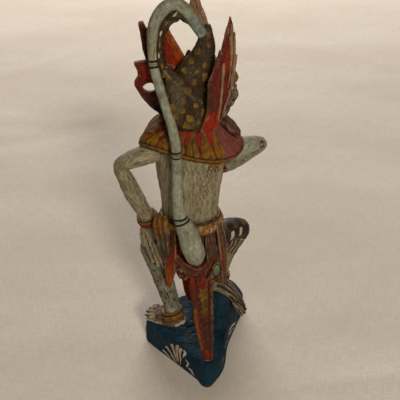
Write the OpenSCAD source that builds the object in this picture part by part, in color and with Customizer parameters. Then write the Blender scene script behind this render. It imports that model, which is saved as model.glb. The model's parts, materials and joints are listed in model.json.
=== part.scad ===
// Carved and painted wooden monkey warrior on a rock, pegged and glued from separate carved pieces.
// Millimetres, +Z up. The figure faces -Y, its own left is +X, and the origin is on the underside.

/* [Rock] */
// Height of the rock where no foot stands on it
rock_h = 20; // [16:1:26]
// Height of the pad under the left foot
left_pad_z = 28; // [26:1:32]
// Height of the pad under the right heel
right_pad_z = 45; // [42:1:48]

/* [Body] */
// Half the width of the waist
waist_half = 20.5; // [18:0.5:23]
// Half the width of the chest
chest_half = 23.5; // [21:0.5:26]
// Radius of a shin
shin_r = 6.8; // [5.5:0.1:7.5]
// Radius of an upper arm
arm_r = 8; // [6.5:0.5:9]
// Radius of a forearm
forearm_r = 6.2; // [5:0.2:7]
// How far the face looks round to the figure's right, in degrees
head_turn = 60; // [40:5:70]

/* [Tail] */
// Radius of the tail along its middle
tail_r = 3.6; // [3:0.1:5]
// Radius of the bulb at the tail's root
tail_root_r = 7; // [6:0.5:8]

/* [Crown] */
// Thickness of a crown leaf
leaf_t = 3.4; // [2.5:0.1:4.5]

/* [Joinery] */
// Radius of the dowels in the limbs
dowel_r = 2; // [1.5:0.25:2.5]
// Radius of the pins in thin pieces
pin_r = 1; // [0.8:0.1:1.2]
// Glue gap between a dowel and its hole, on the radius
glue_gap = 0.05; // [0.02:0.01:0.1]

/* [Hidden] */

pale = "#9a9c86";
red = "#a8321c";
gold = "#b07a1e";
hair = "#4a4238";
blue = "#1f4a5c";
bare = "#b08a5a";
hip_dowel_l = 16;
tail_dowel_r = dowel_r - 0.4;
crown_pin_r = pin_r - 0.2;
up = [0, 0, 1];
left_side = [1, 0, 0];
sides = 12;
fine = 24;
hair_sides = 16;
bore_sides = 32;
// A dowel's hole is longer than it by this many glue gaps, shared between its ends
end_gaps = 20;
// A fitted ring clears what it is slid over by this much
fit = 0.05;

// Joints between the carved pieces, where their dowels sit
left_ankle = [15, 5, 39];
left_knee = [30, -10, 95];
left_hip = [13, -2, 114];
right_ankle = [-23, -20, 57];
right_knee = [-39, -25, 103];
right_hip = [-14, -3, 114];
left_shoulder = [22, 2, 197];
left_elbow = [45, 8, 186];
left_wrist = [32, 0, 138];
right_shoulder = [-22, 0, 197];
right_elbow = [-48, -11, 193];
right_wrist = [-21, -19, 174];
neck = [-4, -1, 216];
skull = [-10, -3, 0];
face_dir = [-sin(head_turn), -cos(head_turn), 0];
left_thigh_dir = unit(left_knee - left_hip);
right_thigh_dir = unit(right_knee - right_hip);
left_shin_dir = unit(left_ankle - left_knee);
right_shin_dir = unit(right_ankle - right_knee);
left_forearm_dir = unit(left_wrist - left_elbow);
right_forearm_dir = unit(right_wrist - right_elbow);

// Centreline of the tail, each point with its radius
tail_line = [
    [-4.5, 26.5, 124, 2.5], [-4.5, 26.8, 126, 5.4], [-4, 27, 130, tail_root_r],
    [-2, 26.5, 138, tail_root_r], [2, 25, 147, 6.1],
    [6.2, 23.2, 155, 5.2], [8.3, 21.8, 166, tail_r], [8.8, 21, 180, tail_r],
    [8.5, 22.2, 197, tail_r], [8.3, 23.6, 211, tail_r],
    [9.2, 23.2, 221, tail_r], [11, 21.4, 231.5, tail_r], [14, 18.6, 242, tail_r - 0.1],
    [17.6, 15.4, 253, tail_r - 0.2], [20.6, 12.6, 262, tail_r - 0.2], [22.4, 10.6, 270, tail_r - 0.2],
    [22.9, 9, 278, tail_r], [22.2, 8, 286, tail_r], [20, 6.8, 294, tail_r + 0.1],
    [16.4, 6, 300.4, tail_r + 0.2], [12, 5.2, 304.6, tail_r + 0.3], [7, 4.6, 305.6, tail_r + 0.3],
    [2.3, 4, 302.8, tail_r + 0.3], [-1.6, 3.5, 297.8, tail_r + 0.3], [-5.4, 3, 291.6, tail_r + 0.2],
    [-9, 3, 285.8, tail_r]
];
tail_root_end = 5;
tail_back_end = 9;
tail_neck_end = 15;

// Corners of the rock's outline, in order round it
rock_corners = [
    [39, -2], [33, 6], [16, 22], [-4, 41], [-8, 47], [-13, 49.5], [-18, 46], [-27, 30],
    [-31, 6], [-39, -17], [-46, -36], [-41, -46], [-24, -47], [-2, -41], [19, -30], [37, -11]
];
rock_centre = [-4, -2];

// --- geometry helpers ---

function unit(v) = v / norm(v);
function xyz(p) = [p[0], p[1], p[2]];

// A ring of points round c, square to n: a is its half width along side, and b across it
function ring(c, n, a, b, side = left_side, count = sides) =
    let (u = unit(side - n * (side * n)), v = cross(n, u))
    [for (i = [0:count - 1]) c + u * a * cos(360 * i / count) + v * b * sin(360 * i / count)];

// The four corners of a board's section
function board_ring(c, n, a, b, side = left_side) =
    let (u = unit(side - n * (side * n)), v = cross(n, u))
    [c - u * a - v * b, c + u * a - v * b, c + u * a + v * b, c - u * a + v * b];

// Which way a route of points runs at its point i
function heading(route, i) =
    unit(xyz(route[min(i + 1, len(route) - 1)]) - xyz(route[max(i - 1, 0)]));

// Rings along a route whose points are [x, y, z, a, b]
function limb_rings(route, side = left_side, first = undef, last = undef, count = sides) =
    [for (i = [0:len(route) - 1])
        let (end = len(route) - 1,
            n = i == 0 && first != undef ? first : i == end && last != undef ? last : heading(route, i))
        ring(xyz(route[i]), n, route[i][3], route[i][4], side, count)];

// Level rings, for a body that stands upright
function level_rings(route, side = left_side, grow = 0, count = sides) =
    [for (p = route) ring(xyz(p), up, p[3] + grow, p[4] + grow, side, count)];

function wall_faces(count, i, j) =
    [for (k = [0:count - 1]) each
        let (next = (k + 1) % count, here = i * count + k, there = j * count + next)
        [[here, j * count + k, there], [here, there, i * count + next]]];

// A closed solid through rings, with flat ends
module skin(rings) {
    count = len(rings[0]);
    last = len(rings) - 1;
    polyhedron(
        points = [for (r = rings) each r],
        faces = concat(
            [[for (k = [0:count - 1]) k], [for (k = [count - 1:-1:0]) last * count + k]],
            [for (i = [0:last - 1]) each wall_faces(count, i, i + 1)]));
}

// A band between outer rings and inner rings
module band(outer, inner) {
    count = len(outer[0]);
    loops = concat(outer, [for (i = [len(inner) - 1:-1:0]) inner[i]]);
    polyhedron(
        points = [for (r = loops) each r],
        faces = [for (i = [0:len(loops) - 1]) each wall_faces(count, i, (i + 1) % len(loops))]);
}

module limb(route, side = left_side, first = undef, last = undef, count = sides) {
    skin(limb_rings(route, side, first, last, count));
}

// A board along a route whose points are [x, y, z, half width, half thickness]
module board(route, side = left_side) {
    skin([for (i = [0:len(route) - 1])
        board_ring(xyz(route[i]), heading(route, i), route[i][3], route[i][4], side)]);
}

// A round dowel centred on a joint and lying along dir; given a gap, the longer hole that takes it
module dowel(at, dir, r = dowel_r, length = 12, gap = 0) {
    translate(at)
        rotate([0, acos(dir[2]), atan2(dir[1], dir[0])])
            cylinder(r = r + gap, h = length + end_gaps * gap, center = true, $fn = bore_sides);
}

module dowel_hole(at, dir, length = 12) {
    dowel(at, dir, length = length, gap = glue_gap);
}

// A flat leaf from an outline in x and z, standing at depth y and turned about the line x = hinge_x
module leaf(outline, y, hinge_x = 0, turn = 0, t = leaf_t) {
    translate([hinge_x, y, 0])
        rotate([90, 0, turn])
            linear_extrude(height = t, center = true)
                polygon([for (p = outline) [p[0] - hinge_x, p[1]]]);
}

// --- rock ---

function smooth(points, steps) =
    [for (i = [0:len(points) - 1]) each
        let (n = len(points), a = points[(i + n - 1) % n], b = points[i],
            c = points[(i + 1) % n], d = points[(i + 2) % n])
        [for (s = [0:steps - 1]) let (t = s / steps)
            0.5 * (2 * b + (c - a) * t + (2 * a - 5 * b + 4 * c - d) * t * t
                + (3 * b - a - 3 * c + d) * t * t * t)]];

function mound(p, at, reach, height) = height * exp(-pow(norm(p - at) / reach, 4));

function rock_top(p) =
    rock_h + mound(p, [26, -2], 19, left_pad_z - rock_h)
    + mound(p, [-25, -22], 21, right_pad_z - rock_h) + mound(p, [-13, 44], 14, 3);

module rock_base() {
    outline = smooth(rock_corners, 2);
    // Each level's share of the outline's width, and of the rock's height there
    levels = [
        [1, 0], [1, 0.25], [0.985, 0.7], [0.93, 0.94], [0.87, 1], [0.72, 1], [0.55, 1], [0.36, 1], [0.16, 1]
    ];
    color(blue)
        difference() {
            skin([for (level = levels)
                [for (p = outline)
                    let (q = rock_centre + (p - rock_centre) * level[0])
                    [q[0], q[1], rock_top(q) * level[1]]]]);
            foot_pin_set(glue_gap);
            sash_pin(glue_gap);
        }
}

// --- legs ---

module left_foot() {
    color(pale)
        difference() {
            limb([
                [7.5, 6, left_pad_z + 4.5, 4, 4], [11, 5.5, left_pad_z + 5.3, 8.5, 5.2],
                [18, 3.5, left_pad_z + 5.4, 9, 5.3], [27, -1, left_pad_z + 4, 9, 3.9],
                [36, -5, left_pad_z + 2.8, 8, 2.7], [40, -7, left_pad_z + 2, 5.5, 1.8]
            ], side = [0, 1, 0]);
            dowel_hole(left_ankle, -left_shin_dir);
            foot_pin_set(glue_gap);
        }
}

left_shin_route = [
    [left_ankle[0], left_ankle[1], left_ankle[2], shin_r - 0.8, shin_r - 0.8],
    [17, 2, 52, shin_r, shin_r], [22, -3, 70, shin_r + 1, shin_r + 1],
    [27.5, -9, 87, shin_r + 1.6, shin_r + 2],
    [left_knee[0] + 1, left_knee[1] - 2, left_knee[2] + 3, shin_r + 2.2, shin_r + 2.4],
    [24, -7, 106, shin_r + 2.8, shin_r + 2.8], [15, -3.5, 113, shin_r + 3, shin_r + 3]
];

module left_leg() {
    color(pale)
        difference() {
            limb(left_shin_route, first = -left_shin_dir, last = -left_thigh_dir);
            dowel_hole(left_ankle, -left_shin_dir);
            dowel_hole(left_hip, left_thigh_dir, length = hip_dowel_l);
        }
}

module anklet(at, dir, r) {
    route = [for (s = [-4.5, -2.5, 1, 3]) at - dir * s];
    outer = [for (i = [0:3]) ring(route[i], -dir, r + [1, 2.2, 2.2, 1][i], r + [1, 2.2, 2.2, 1][i])];
    inner = [for (i = [0:3]) ring(route[i], -dir, r + fit, r + fit)];
    band([for (i = [3:-1:0]) outer[i]], [for (i = [3:-1:0]) inner[i]]);
}

module left_anklet() {
    color(gold) anklet(left_ankle - left_shin_dir * 3, left_shin_dir, shin_r - 0.4);
}

right_shin_route = [
    [right_ankle[0], right_ankle[1], right_ankle[2], shin_r - 1.2, shin_r - 1.2],
    [-26, -21.5, 68, shin_r - 0.6, shin_r - 0.6], [-31, -23.5, 84, shin_r + 0.2, shin_r + 0.2],
    [-37, -25.5, 97, shin_r + 0.8, shin_r + 1],
    [right_knee[0] - 1, right_knee[1] - 1, right_knee[2] + 4, shin_r + 1.2, shin_r + 1.4],
    [-30, -18, 112, shin_r + 2.8, shin_r + 2.6], [-16.5, -5, 115, shin_r + 3.6, shin_r + 3.2]
];

module right_leg() {
    color(pale)
        difference() {
            limb(right_shin_route, first = -right_shin_dir, last = -right_thigh_dir);
            dowel_hole(right_ankle, -right_shin_dir);
            dowel_hole(right_hip, right_thigh_dir, length = hip_dowel_l);
        }
}

module right_anklet() {
    color(gold) anklet(right_ankle - right_shin_dir * 3, right_shin_dir, shin_r - 1.1);
}

module right_foot() {
    color(pale)
        difference() {
            limb([
                [-15, -19.5, right_pad_z + 4, 4.5, 4], [-18, -19, right_pad_z + 5.4, 7, 5.2],
                [-25, -17.5, right_pad_z + 5.2, 8, 5.5], [-34, -14.5, right_pad_z - 0.5, 8.6, 4.2],
                [-40.5, -11, right_pad_z - 9, 8.2, 3.2], [-44, -9, right_pad_z - 16.5, 6.2, 2.2]
            ], side = [0, 1, 0]);
            dowel_hole(right_ankle, -right_shin_dir);
            foot_pin_set(glue_gap);
        }
}

// --- trunk and cloths ---

trunk_route = [
    [-1, 2, 122, 15, 11], [-1, 2, 132, 19, 14], [-0.5, 2, 140, waist_half - 0.5, 14.5],
    [0, 2, 150, waist_half, 14.5], [0, 1, 165, waist_half + 1.2, 15], [0, 1, 180, chest_half, 15.5],
    [0, 1, 192, chest_half + 0.5, 15], [0, 1, 201, chest_half - 0.5, 13.5],
    [-1, 0.5, 208, chest_half - 7.5, 12.5], [neck[0], neck[1], neck[2], 12, 11.5]
];

module trunk() {
    color(pale)
        difference() {
            skin(level_rings(trunk_route, count = fine));
            dowel_hole(left_shoulder, left_side);
            dowel_hole(right_shoulder, left_side);
            dowel_hole(neck, up);
            tail_pin_set(glue_gap);
        }
}

cloth_inner = [trunk_route[0], trunk_route[1], [-0.8, 2, 136.5, 19.6, 14.3]];

module hip_cloth() {
    color(red)
        difference() {
            skin(concat(
                level_rings([[-1, -1, 98, 11, 8], [-1, 0, 104, 20, 13.5], [-1, 1, 114, 25, 16.5]],
                            count = fine),
                level_rings([[-1, 1.5, 122, 24.5, 17.2], [-1, 2, 130, 22.8, 17],
                             [-0.8, 2, 136.4, 21.6, 16.2]],
                    count = fine),
                level_rings([cloth_inner[2], cloth_inner[1], cloth_inner[0]], grow = fit, count = fine)));
            dowel_hole(left_hip, left_thigh_dir, length = hip_dowel_l);
            dowel_hole(right_hip, right_thigh_dir, length = hip_dowel_l);
        }
}

module belt() {
    inner = [
        [-0.8, 2, 136.5, 19.7, 14.4], [-0.5, 2, 140, waist_half - 0.4, 14.6],
        [0, 2, 145, waist_half - 0.1, 14.6]
    ];
    outer = [[-0.8, 2, 136.5, 23, 17.4], [-0.5, 2, 140, 23.6, 18], [0, 2, 145, 22.6, 17]];
    color(gold) band(level_rings(outer, count = fine), level_rings(inner, count = fine));
}

module sash_bow() {
    color(red)
        limb([
            [8, 18, 109.5, 3, 3.5], [4, 20.5, 106.5, 4, 5], [-3, 22, 105.2, 4.5, 6], [-10, 20.5, 106.5, 4, 5],
            [-14, 18, 109.5, 3, 3.5]
        ], side = [0, 1, 0]);
}

rear_sash_route = [
    [-8.5, 21, 99, 9.5, 2], [-8.5, 24, 88, 9, 2.2], [-9.5, 28, 72, 7.8, 2.4], [-10.5, 32.5, 56, 7.2, 2.4],
    [-12, 36.5, 41, 5.6, 2.3], [-13.4, 39.5, 28, 3.8, 2], [-13.8, 40.5, 24, 3, 1.8]
];

module rear_sash() {
    color(red)
        difference() {
            board(rear_sash_route);
            sash_pin(glue_gap);
        }
}

module front_apron() {
    color(red)
        board([
            [0, -17.8, 116, 9, 1.8], [0, -17.6, 100, 8.8, 2], [0, -15.5, 82, 8, 2], [0.5, -11.5, 62, 7, 2],
            [0.5, -8.5, 48, 4.5, 1.8], [0.5, -7.5, 42, 2, 1.4]
        ]);
}

module left_lappet() {
    color(red)
        board([[17, 15.6, 118, 6, 1.8], [17, 16.5, 104, 6.5, 1.8], [16, 15, 88, 5, 1.6],
               [15, 12.5, 72, 1.5, 1.2]]);
}

module left_hip_drape() {
    color(gold)
        board([
            [26, 12, 136, 5, 2.2], [27.5, 12.5, 124, 7, 2.4], [27, 13, 110, 7, 2.2], [25, 12.5, 100, 5, 1.8]
        ], side = unit([1, -0.9, 0]));
}

module right_lappet_outer() {
    color(red)
        board([
            [-23.5, 12, 124, 4.5, 1.8], [-25.3, 12, 108, 4.5, 1.8], [-26.5, 11, 93, 3, 1.6],
            [-27.5, 9.5, 79, 1, 1.2]
        ], side = unit([1, 0.6, 0]));
}

module right_lappet_inner() {
    color(red)
        board([
            [-16.5, 17, 124, 4.5, 1.8], [-18.5, 17.2, 108, 5, 1.8], [-20.5, 15.5, 92, 3.6, 1.6],
            [-22, 13.5, 80, 1, 1.2]
        ], side = unit([1, 0.35, 0]));
}

// --- arms ---

module left_arm() {
    color(pale)
        difference() {
            limb([
                [22.5, 2, 197, arm_r - 1, arm_r - 1], [31, 4, 194.5, arm_r, arm_r],
                [40, 6.5, 190, arm_r, arm_r], [45.5, 8, 184.5, arm_r, arm_r - 0.5],
                [44.5, 7, 177, arm_r - 0.8, arm_r - 1], [40.5, 4.5, 163, forearm_r + 0.6, forearm_r + 0.4],
                [left_wrist[0], left_wrist[1], left_wrist[2], forearm_r - 0.2, forearm_r - 0.6]
            ], side = [0, 1, 0], first = left_side, last = left_forearm_dir);
            dowel_hole(left_shoulder, left_side);
            dowel_hole(left_wrist, left_forearm_dir);
        }
}

module bracelet(at, dir, r) {
    at_s = [-4, -2, 2, 4];
    band([for (i = [0:3]) ring(at + dir * at_s[i], dir, r + [1, 1.8, 1.8, 1][i], r + [1, 1.8, 1.8, 1][i])],
        [for (s = at_s) ring(at + dir * s, dir, r, r)]);
}

module left_bracelet() {
    color(red) bracelet(left_wrist + left_forearm_dir, left_forearm_dir, forearm_r + 0.2);
}

module left_hand() {
    color(pale)
        difference() {
            limb([
                [left_wrist[0], left_wrist[1], left_wrist[2], forearm_r - 0.6, forearm_r - 1],
                [31, -0.5, 131, 5.8, 4.4], [30.5, 0.5, 120, 7.6, 3.6], [29, 1.5, 110, 7.8, 3],
                [25.5, 2, 97, 6.8, 2.4], [23, 1.5, 87.5, 4.5, 1.6]
            ], first = left_forearm_dir);
            dowel_hole(left_wrist, left_forearm_dir);
        }
}

module right_arm() {
    color(pale)
        difference() {
            limb([
                [-22.5, 0, 197, arm_r - 1, arm_r - 1], [-32, -3, 198.5, arm_r - 1, arm_r - 0.8],
                [-42, -7, 198, arm_r - 1.4, arm_r - 1], [-49, -11, 194.5, arm_r - 1.8, arm_r - 1.6],
                [-48.5, -14.5, 189.5, forearm_r, forearm_r], [-40, -17, 184, forearm_r, forearm_r],
                [right_wrist[0], right_wrist[1], right_wrist[2], forearm_r - 0.8, forearm_r - 0.8]
            ], side = up, first = -left_side, last = right_forearm_dir);
            dowel_hole(right_shoulder, left_side);
            dowel_hole(right_wrist, right_forearm_dir);
        }
}

module right_bracelet() {
    color(gold) bracelet(right_wrist - right_forearm_dir * 3, right_forearm_dir, forearm_r - 0.2);
}

module right_hand() {
    color(pale)
        difference() {
            limb([
                [right_wrist[0], right_wrist[1], right_wrist[2], forearm_r - 1.2, forearm_r - 1.2],
                [-15, -21, 172.5, 5.5, 3.4], [-8, -21, 172, 7.2, 3], [0, -20.5, 172.5, 7, 2.8],
                [8, -20, 173.5, 5.5, 2.2], [12, -19.5, 174, 3, 1.6]
            ], side = up, first = right_forearm_dir);
            dowel_hole(right_wrist, right_forearm_dir);
        }
}

// --- collar ---

module collar() {
    inner = [trunk_route[7], trunk_route[8], trunk_route[9], [neck[0] - 1, neck[1], 225, 13.4, 12.4]];
    outer = [[0, 1, 201.5, 32, 18.5], [0, 1, 206, 35, 18.6], [0, 1, 216, 29, 17], [-3, 0.5, 225, 19, 15]];
    color(gold)
        band(level_rings(outer, count = fine), level_rings(inner, grow = fit, count = fine));
}

module left_shoulder_lappet() {
    color(red)
        board([[18.5, 2, 225, 6, 1.4], [24, 2, 219.8, 7.2, 1.6], [29.3, 2, 212.8, 5, 1.4]], side = [0, 1, 0]);
}

module right_shoulder_lappet() {
    color(red)
        board([[-19.5, 1, 225.5, 6, 1.4], [-27, 1, 219.5, 8, 1.6], [-33.5, 1, 212, 6, 1.4]],
              side = [0, 1, 0]);
}

// --- head and crown ---

// A level ring of the head: height, shift towards the face, half depth, half width
function head_ring(z, shift, a, b, grow = 0) =
    ring([skull[0], skull[1], z] + face_dir * shift, up, a + grow, b + grow, face_dir, fine);

head_rings = [
    ring(neck, up, 12, 11.5, left_side, fine), head_ring(219, 3, 15, 11), head_ring(223, 5.5, 18, 11),
    head_ring(230, 6, 19, 12), head_ring(238, 4.5, 18.5, 13), head_ring(246, 5.5, 20, 13.5),
    head_ring(254, 2, 16.5, 13.5), head_ring(262, 0.5, 13, 11.5), head_ring(268, 0, 7, 7)
];

module head() {
    color(pale)
        difference() {
            skin(head_rings);
            dowel_hole(neck, up);
            crown_pin(glue_gap);
            leaf_pin_set(glue_gap);
        }
}

// The diadem is carved in one with small pyramids round its rim, from the left ear to past the brow
module diadem() {
    color(gold)
        union() {
            band([head_ring(250, 3.9, 20.4, 15.3), head_ring(254, 2.4, 19.2, 15.5),
                  head_ring(259, 1.4, 16.8, 14.4)],
                [head_ring(250, 3.75, 18.25, 13.5, fit), head_ring(254, 2, 16.5, 13.5, fit),
                    head_ring(259, 1.05, 14.3, 12.25, fit)]);
            crown_peak(0, 15.1, 12);
            for (turn = [-95, -48, 48])
                crown_peak(turn, 13.4, 9.6);
        }
}

// A pyramid on the diadem's rim: its turn from the face, its distance from the middle, and its height
module crown_peak(turn, reach, height) {
    out = [-sin(head_turn - turn), -cos(head_turn - turn), 0];
    foot = skull + out * reach + [0, 0, 257.5];
    skin([board_ring(foot, up, 1.7, 4.6, out), board_ring(foot + [0, 0, 6.5], up, 1.5, 3, out),
        board_ring(foot + [0, 0, height + 1.5], up, 0.7, 0.8, out)]);
}

module crown_spike() {
    color(red)
        difference() {
            leaf([
                [-8, 266], [-7.5, 275], [-2.5, 285], [0, 293], [-1, 302.5], [-3.5, 319.5], [-7, 302.5],
                [-10.5, 293.5], [-13, 284], [-14, 275], [-13, 266]
            ], -10, t = 4);
            crown_pin(glue_gap);
        }
}

module hair_mass() {
    color(hair)
        difference() {
            skin(level_rings([
                [3, 14.5, 225.5, 5, 2.5], [3, 14, 230, 10.5, 5], [3.5, 13, 238, 14.5, 7],
                [3.5, 12, 248, 15.6, 8],
                [3, 10, 256, 15.4, 7.8], [-1, 7.5, 263, 12.8, 6.8], [-6.5, 5, 270, 8.8, 5.6],
                [-10.3, 3, 278, 6.9, 4.8], [-12.3, 2, 285, 5, 4], [-12.5, 1, 290.5, 2.5, 2.5]
            ], count = hair_sides));
            skin(head_rings);
        }
}

module hair_crest() {
    color(hair)
        limb([
            [15, 9.4, 264, 3, 4.4], [17.2, 8.4, 271, 3, 4.4], [17.8, 7.6, 278, 2.9, 4.2],
            [17.2, 6.8, 286, 2.8, 4],
            [15, 6, 292.5, 2.8, 3.8], [11, 5.2, 297.5, 2.7, 3.6], [6, 4.6, 298.8, 2.6, 3.4],
            [1.5, 4.2, 297, 2, 3]
        ]);
}

module left_upper_leaf() {
    color(red)
        difference() {
            leaf([
                [31.5, 290], [28.5, 290.5], [26, 284.5], [22.5, 290], [16.5, 295.5], [13, 286], [3.5, 267.5],
                [3.5, 260.5], [7.5, 260], [7.5, 252], [25.5, 255], [29, 270]
            ], -6.5);
            leaf_pin_set(glue_gap);
        }
}

module left_ear_leaf() {
    color(red)
        difference() {
            leaf([
                [35.5, 264.5], [33, 255], [35.7, 250], [33.5, 243.7], [28, 234.5], [19.5, 226], [6, 229],
                [4.3, 236], [4.3, 248.5], [8.5, 249.5], [8.5, 262], [26, 265.5]
            ], -2);
            translate([26.8, 0, 246.8])
                rotate([90, 0, 0])
                    cylinder(r = 3.4, h = 20, center = true, $fn = 32);
            leaf_pin_set(glue_gap);
        }
}

// The leaves beside the right ear lie on each other, outward from the head
module right_ear_leaf(outline, layer) {
    color(red)
        difference() {
            leaf(outline, 16.2 + 2.8 * layer, -10, 30, 2.4);
            leaf_pin_set(glue_gap);
        }
}

module right_ear_leaf_front() {
    right_ear_leaf([
        [-33.5, 273.5], [-29, 269], [-13, 250], [-13, 236], [-23.5, 231], [-27, 243], [-31, 253]
    ], 0);
}

module right_ear_leaf_brow() {
    right_ear_leaf([
        [-31, 291], [-27.5, 279], [-14, 254], [-13, 234], [-22.5, 231], [-29, 248], [-31.7, 264.5], [-32, 278]
    ], 1);
}

module right_ear_leaf_tall() {
    right_ear_leaf([
        [-27.5, 302.5], [-25, 292.5], [-22.5, 283], [-19.5, 283.5], [-18.5, 274.5], [-15.5, 259.5],
        [-14.5, 235.5], [-22.5, 232.5], [-26, 249.5], [-28.5, 263], [-30, 278], [-30, 286.5], [-29, 297]
    ], 2);
}

module right_ear_leaf_rear() {
    right_ear_leaf([
        [-24, 274.5], [-21.5, 270], [-18, 266.5], [-13, 259.5], [-12.5, 240], [-15, 233], [-22.5, 232],
        [-23, 242.5], [-25, 255], [-25.5, 267.5]
    ], 3);
}

// --- tail ---

module tail_piece(from, to) {
    route = [for (i = [from:to]) [for (k = [0, 1, 2, 3, 3]) tail_line[i][k]]];
    difference() {
        limb(route, side = [0, 1, 0], first = heading(tail_line, from), last = heading(tail_line, to));
        tail_dowel_set(glue_gap);
        tail_pin_set(glue_gap);
    }
}

module tail_root() {
    color(pale) tail_piece(0, tail_root_end);
}

module tail_back() {
    color(pale) tail_piece(tail_root_end, tail_back_end);
}

module tail_neck() {
    color(pale) tail_piece(tail_back_end, tail_neck_end);
}

module tail_arch() {
    color(pale) tail_piece(tail_neck_end, len(tail_line) - 1);
}

// --- dowels and pins, with gap for the holes that take them ---

module foot_pin_set(gap = 0) {
    for (at = [[22, 1.5, left_pad_z], [-22, -18.5, right_pad_z]])
        dowel(at, up, pin_r, 9, gap);
}

module tail_dowel_set(gap = 0) {
    for (i = [tail_root_end, tail_back_end, tail_neck_end])
        dowel(xyz(tail_line[i]), heading(tail_line, i), tail_dowel_r, 10, gap);
}

module tail_pin_set(gap = 0) {
    for (at = [[-2, 17.5, 137.5], [8.5, 17.5, 190]])
        dowel(at, [0, 1, 0], pin_r, 11, gap);
}

module sash_pin(gap = 0) {
    dowel([-13.4, 40.4, 23.5], unit([0.12, -0.2, 1]), pin_r, 9, gap);
}

module crown_pin(gap = 0) {
    dowel([-10.5, -10, 266], up, crown_pin_r, 7, gap);
}

// One long pin holds the right ear leaves, and a short one each left leaf
module leaf_pin_set(gap = 0) {
    outward = [face_dir[1], -face_dir[0], 0];
    dowel(skull - face_dir * 4 + outward * 17 + [0, 0, 243], outward, pin_r, 15, gap);
    dowel([5, -6.5, 257.5], left_side, pin_r, 10, gap);
    dowel([8, -2, 243], left_side, pin_r, 12, gap);
}

module ankle_dowels() {
    color(bare) {
        dowel(left_ankle, -left_shin_dir);
        dowel(right_ankle, -right_shin_dir);
    }
}

module foot_pins() {
    color(bare) {
        foot_pin_set();
        sash_pin();
    }
}

module hip_dowels() {
    color(bare) {
        dowel(left_hip, left_thigh_dir, length = hip_dowel_l);
        dowel(right_hip, right_thigh_dir, length = hip_dowel_l);
    }
}

module shoulder_dowels() {
    color(bare) {
        dowel(left_shoulder, left_side);
        dowel(right_shoulder, left_side);
    }
}

module wrist_dowels() {
    color(bare) {
        dowel(left_wrist, left_forearm_dir);
        dowel(right_wrist, right_forearm_dir);
    }
}

module neck_dowel() {
    color(bare) dowel(neck, up);
}

module tail_dowels() {
    color(bare) {
        tail_dowel_set();
        tail_pin_set();
    }
}

module crown_pins() {
    color(bare) {
        crown_pin();
        leaf_pin_set();
    }
}

rock_base();
left_foot();
left_anklet();
left_leg();
right_foot();
right_anklet();
right_leg();
trunk();
hip_cloth();
belt();
sash_bow();
rear_sash();
front_apron();
left_lappet();
right_lappet_outer();
right_lappet_inner();
left_hip_drape();
left_arm();
left_bracelet();
left_hand();
right_arm();
right_bracelet();
right_hand();
collar();
left_shoulder_lappet();
right_shoulder_lappet();
head();
diadem();
crown_spike();
hair_mass();
hair_crest();
left_upper_leaf();
left_ear_leaf();
right_ear_leaf_front();
right_ear_leaf_brow();
right_ear_leaf_tall();
right_ear_leaf_rear();
tail_root();
tail_back();
tail_neck();
tail_arch();
ankle_dowels();
foot_pins();
hip_dowels();
shoulder_dowels();
wrist_dowels();
neck_dowel();
tail_dowels();
crown_pins();
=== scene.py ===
"""Carved and painted monkey warrior: the looks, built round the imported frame.

Shapes are worked out in millimetres in the frame's own axes and written to Blender in metres.
The figure faces -Y, its left side is +X, and its head is turned to its right.
Each point of a piece carries painted marks: 10 plus the depth in millimetres inside a painted
shape, so that a material finds the shape's edge where the number passes 10.
"""
import json
import math

import bpy
import numpy as np
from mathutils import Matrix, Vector


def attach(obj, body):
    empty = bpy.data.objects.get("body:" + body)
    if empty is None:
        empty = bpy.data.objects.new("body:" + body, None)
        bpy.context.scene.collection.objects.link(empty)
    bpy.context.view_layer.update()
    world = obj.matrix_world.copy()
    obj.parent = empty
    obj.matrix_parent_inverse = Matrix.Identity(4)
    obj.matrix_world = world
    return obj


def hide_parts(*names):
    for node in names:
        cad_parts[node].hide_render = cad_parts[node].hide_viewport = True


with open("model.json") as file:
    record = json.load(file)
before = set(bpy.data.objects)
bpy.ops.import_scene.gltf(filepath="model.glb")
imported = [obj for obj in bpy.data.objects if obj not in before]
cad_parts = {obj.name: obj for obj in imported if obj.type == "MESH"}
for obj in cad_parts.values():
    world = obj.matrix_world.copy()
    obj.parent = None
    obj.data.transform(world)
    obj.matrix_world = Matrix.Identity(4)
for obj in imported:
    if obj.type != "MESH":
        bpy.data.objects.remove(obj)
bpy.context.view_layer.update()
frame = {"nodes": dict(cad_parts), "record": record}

MM = 0.001
INSIDE = 10.0
NO_MARK = -9.0
REAR_TURN = math.pi / 2
FRONT_TURN = 1.5 * math.pi
UP = np.array([0.0, 0.0, 1.0])
LEFT = np.array([1.0, 0.0, 0.0])
BACK = np.array([0.0, 1.0, 0.0])
TURN = math.radians(60)
FACE = np.array([-math.sin(TURN), -math.cos(TURN), 0.0])
CHEEK = np.array([math.cos(TURN), -math.sin(TURN), 0.0])
SKULL = np.array([-10.0, -3.0, 0.0])
rng = np.random.default_rng(11)


# ---------------------------------------------------------------- camera

def add_camera():
    """The camera stands behind the figure and looks down on it."""
    camera = bpy.data.objects.new("camera", bpy.data.cameras.new("camera"))
    bpy.context.scene.collection.objects.link(camera)
    aim = Vector((-0.0072, 0.00535, 0.1582))
    camera.location = (-0.0072, 0.4151, 0.4783)
    camera.rotation_euler = (aim - camera.location).to_track_quat("-Z", "Y").to_euler()
    camera.data.lens = 64.71
    camera.data.sensor_width = 36
    camera.data.clip_start = 0.01
    bpy.context.scene.camera = camera


# ---------------------------------------------------------------- numbers

def unit(v):
    """Vectors of length 1."""
    v = np.asarray(v, float)
    return v / np.linalg.norm(v, axis=-1, keepdims=True)


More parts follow.
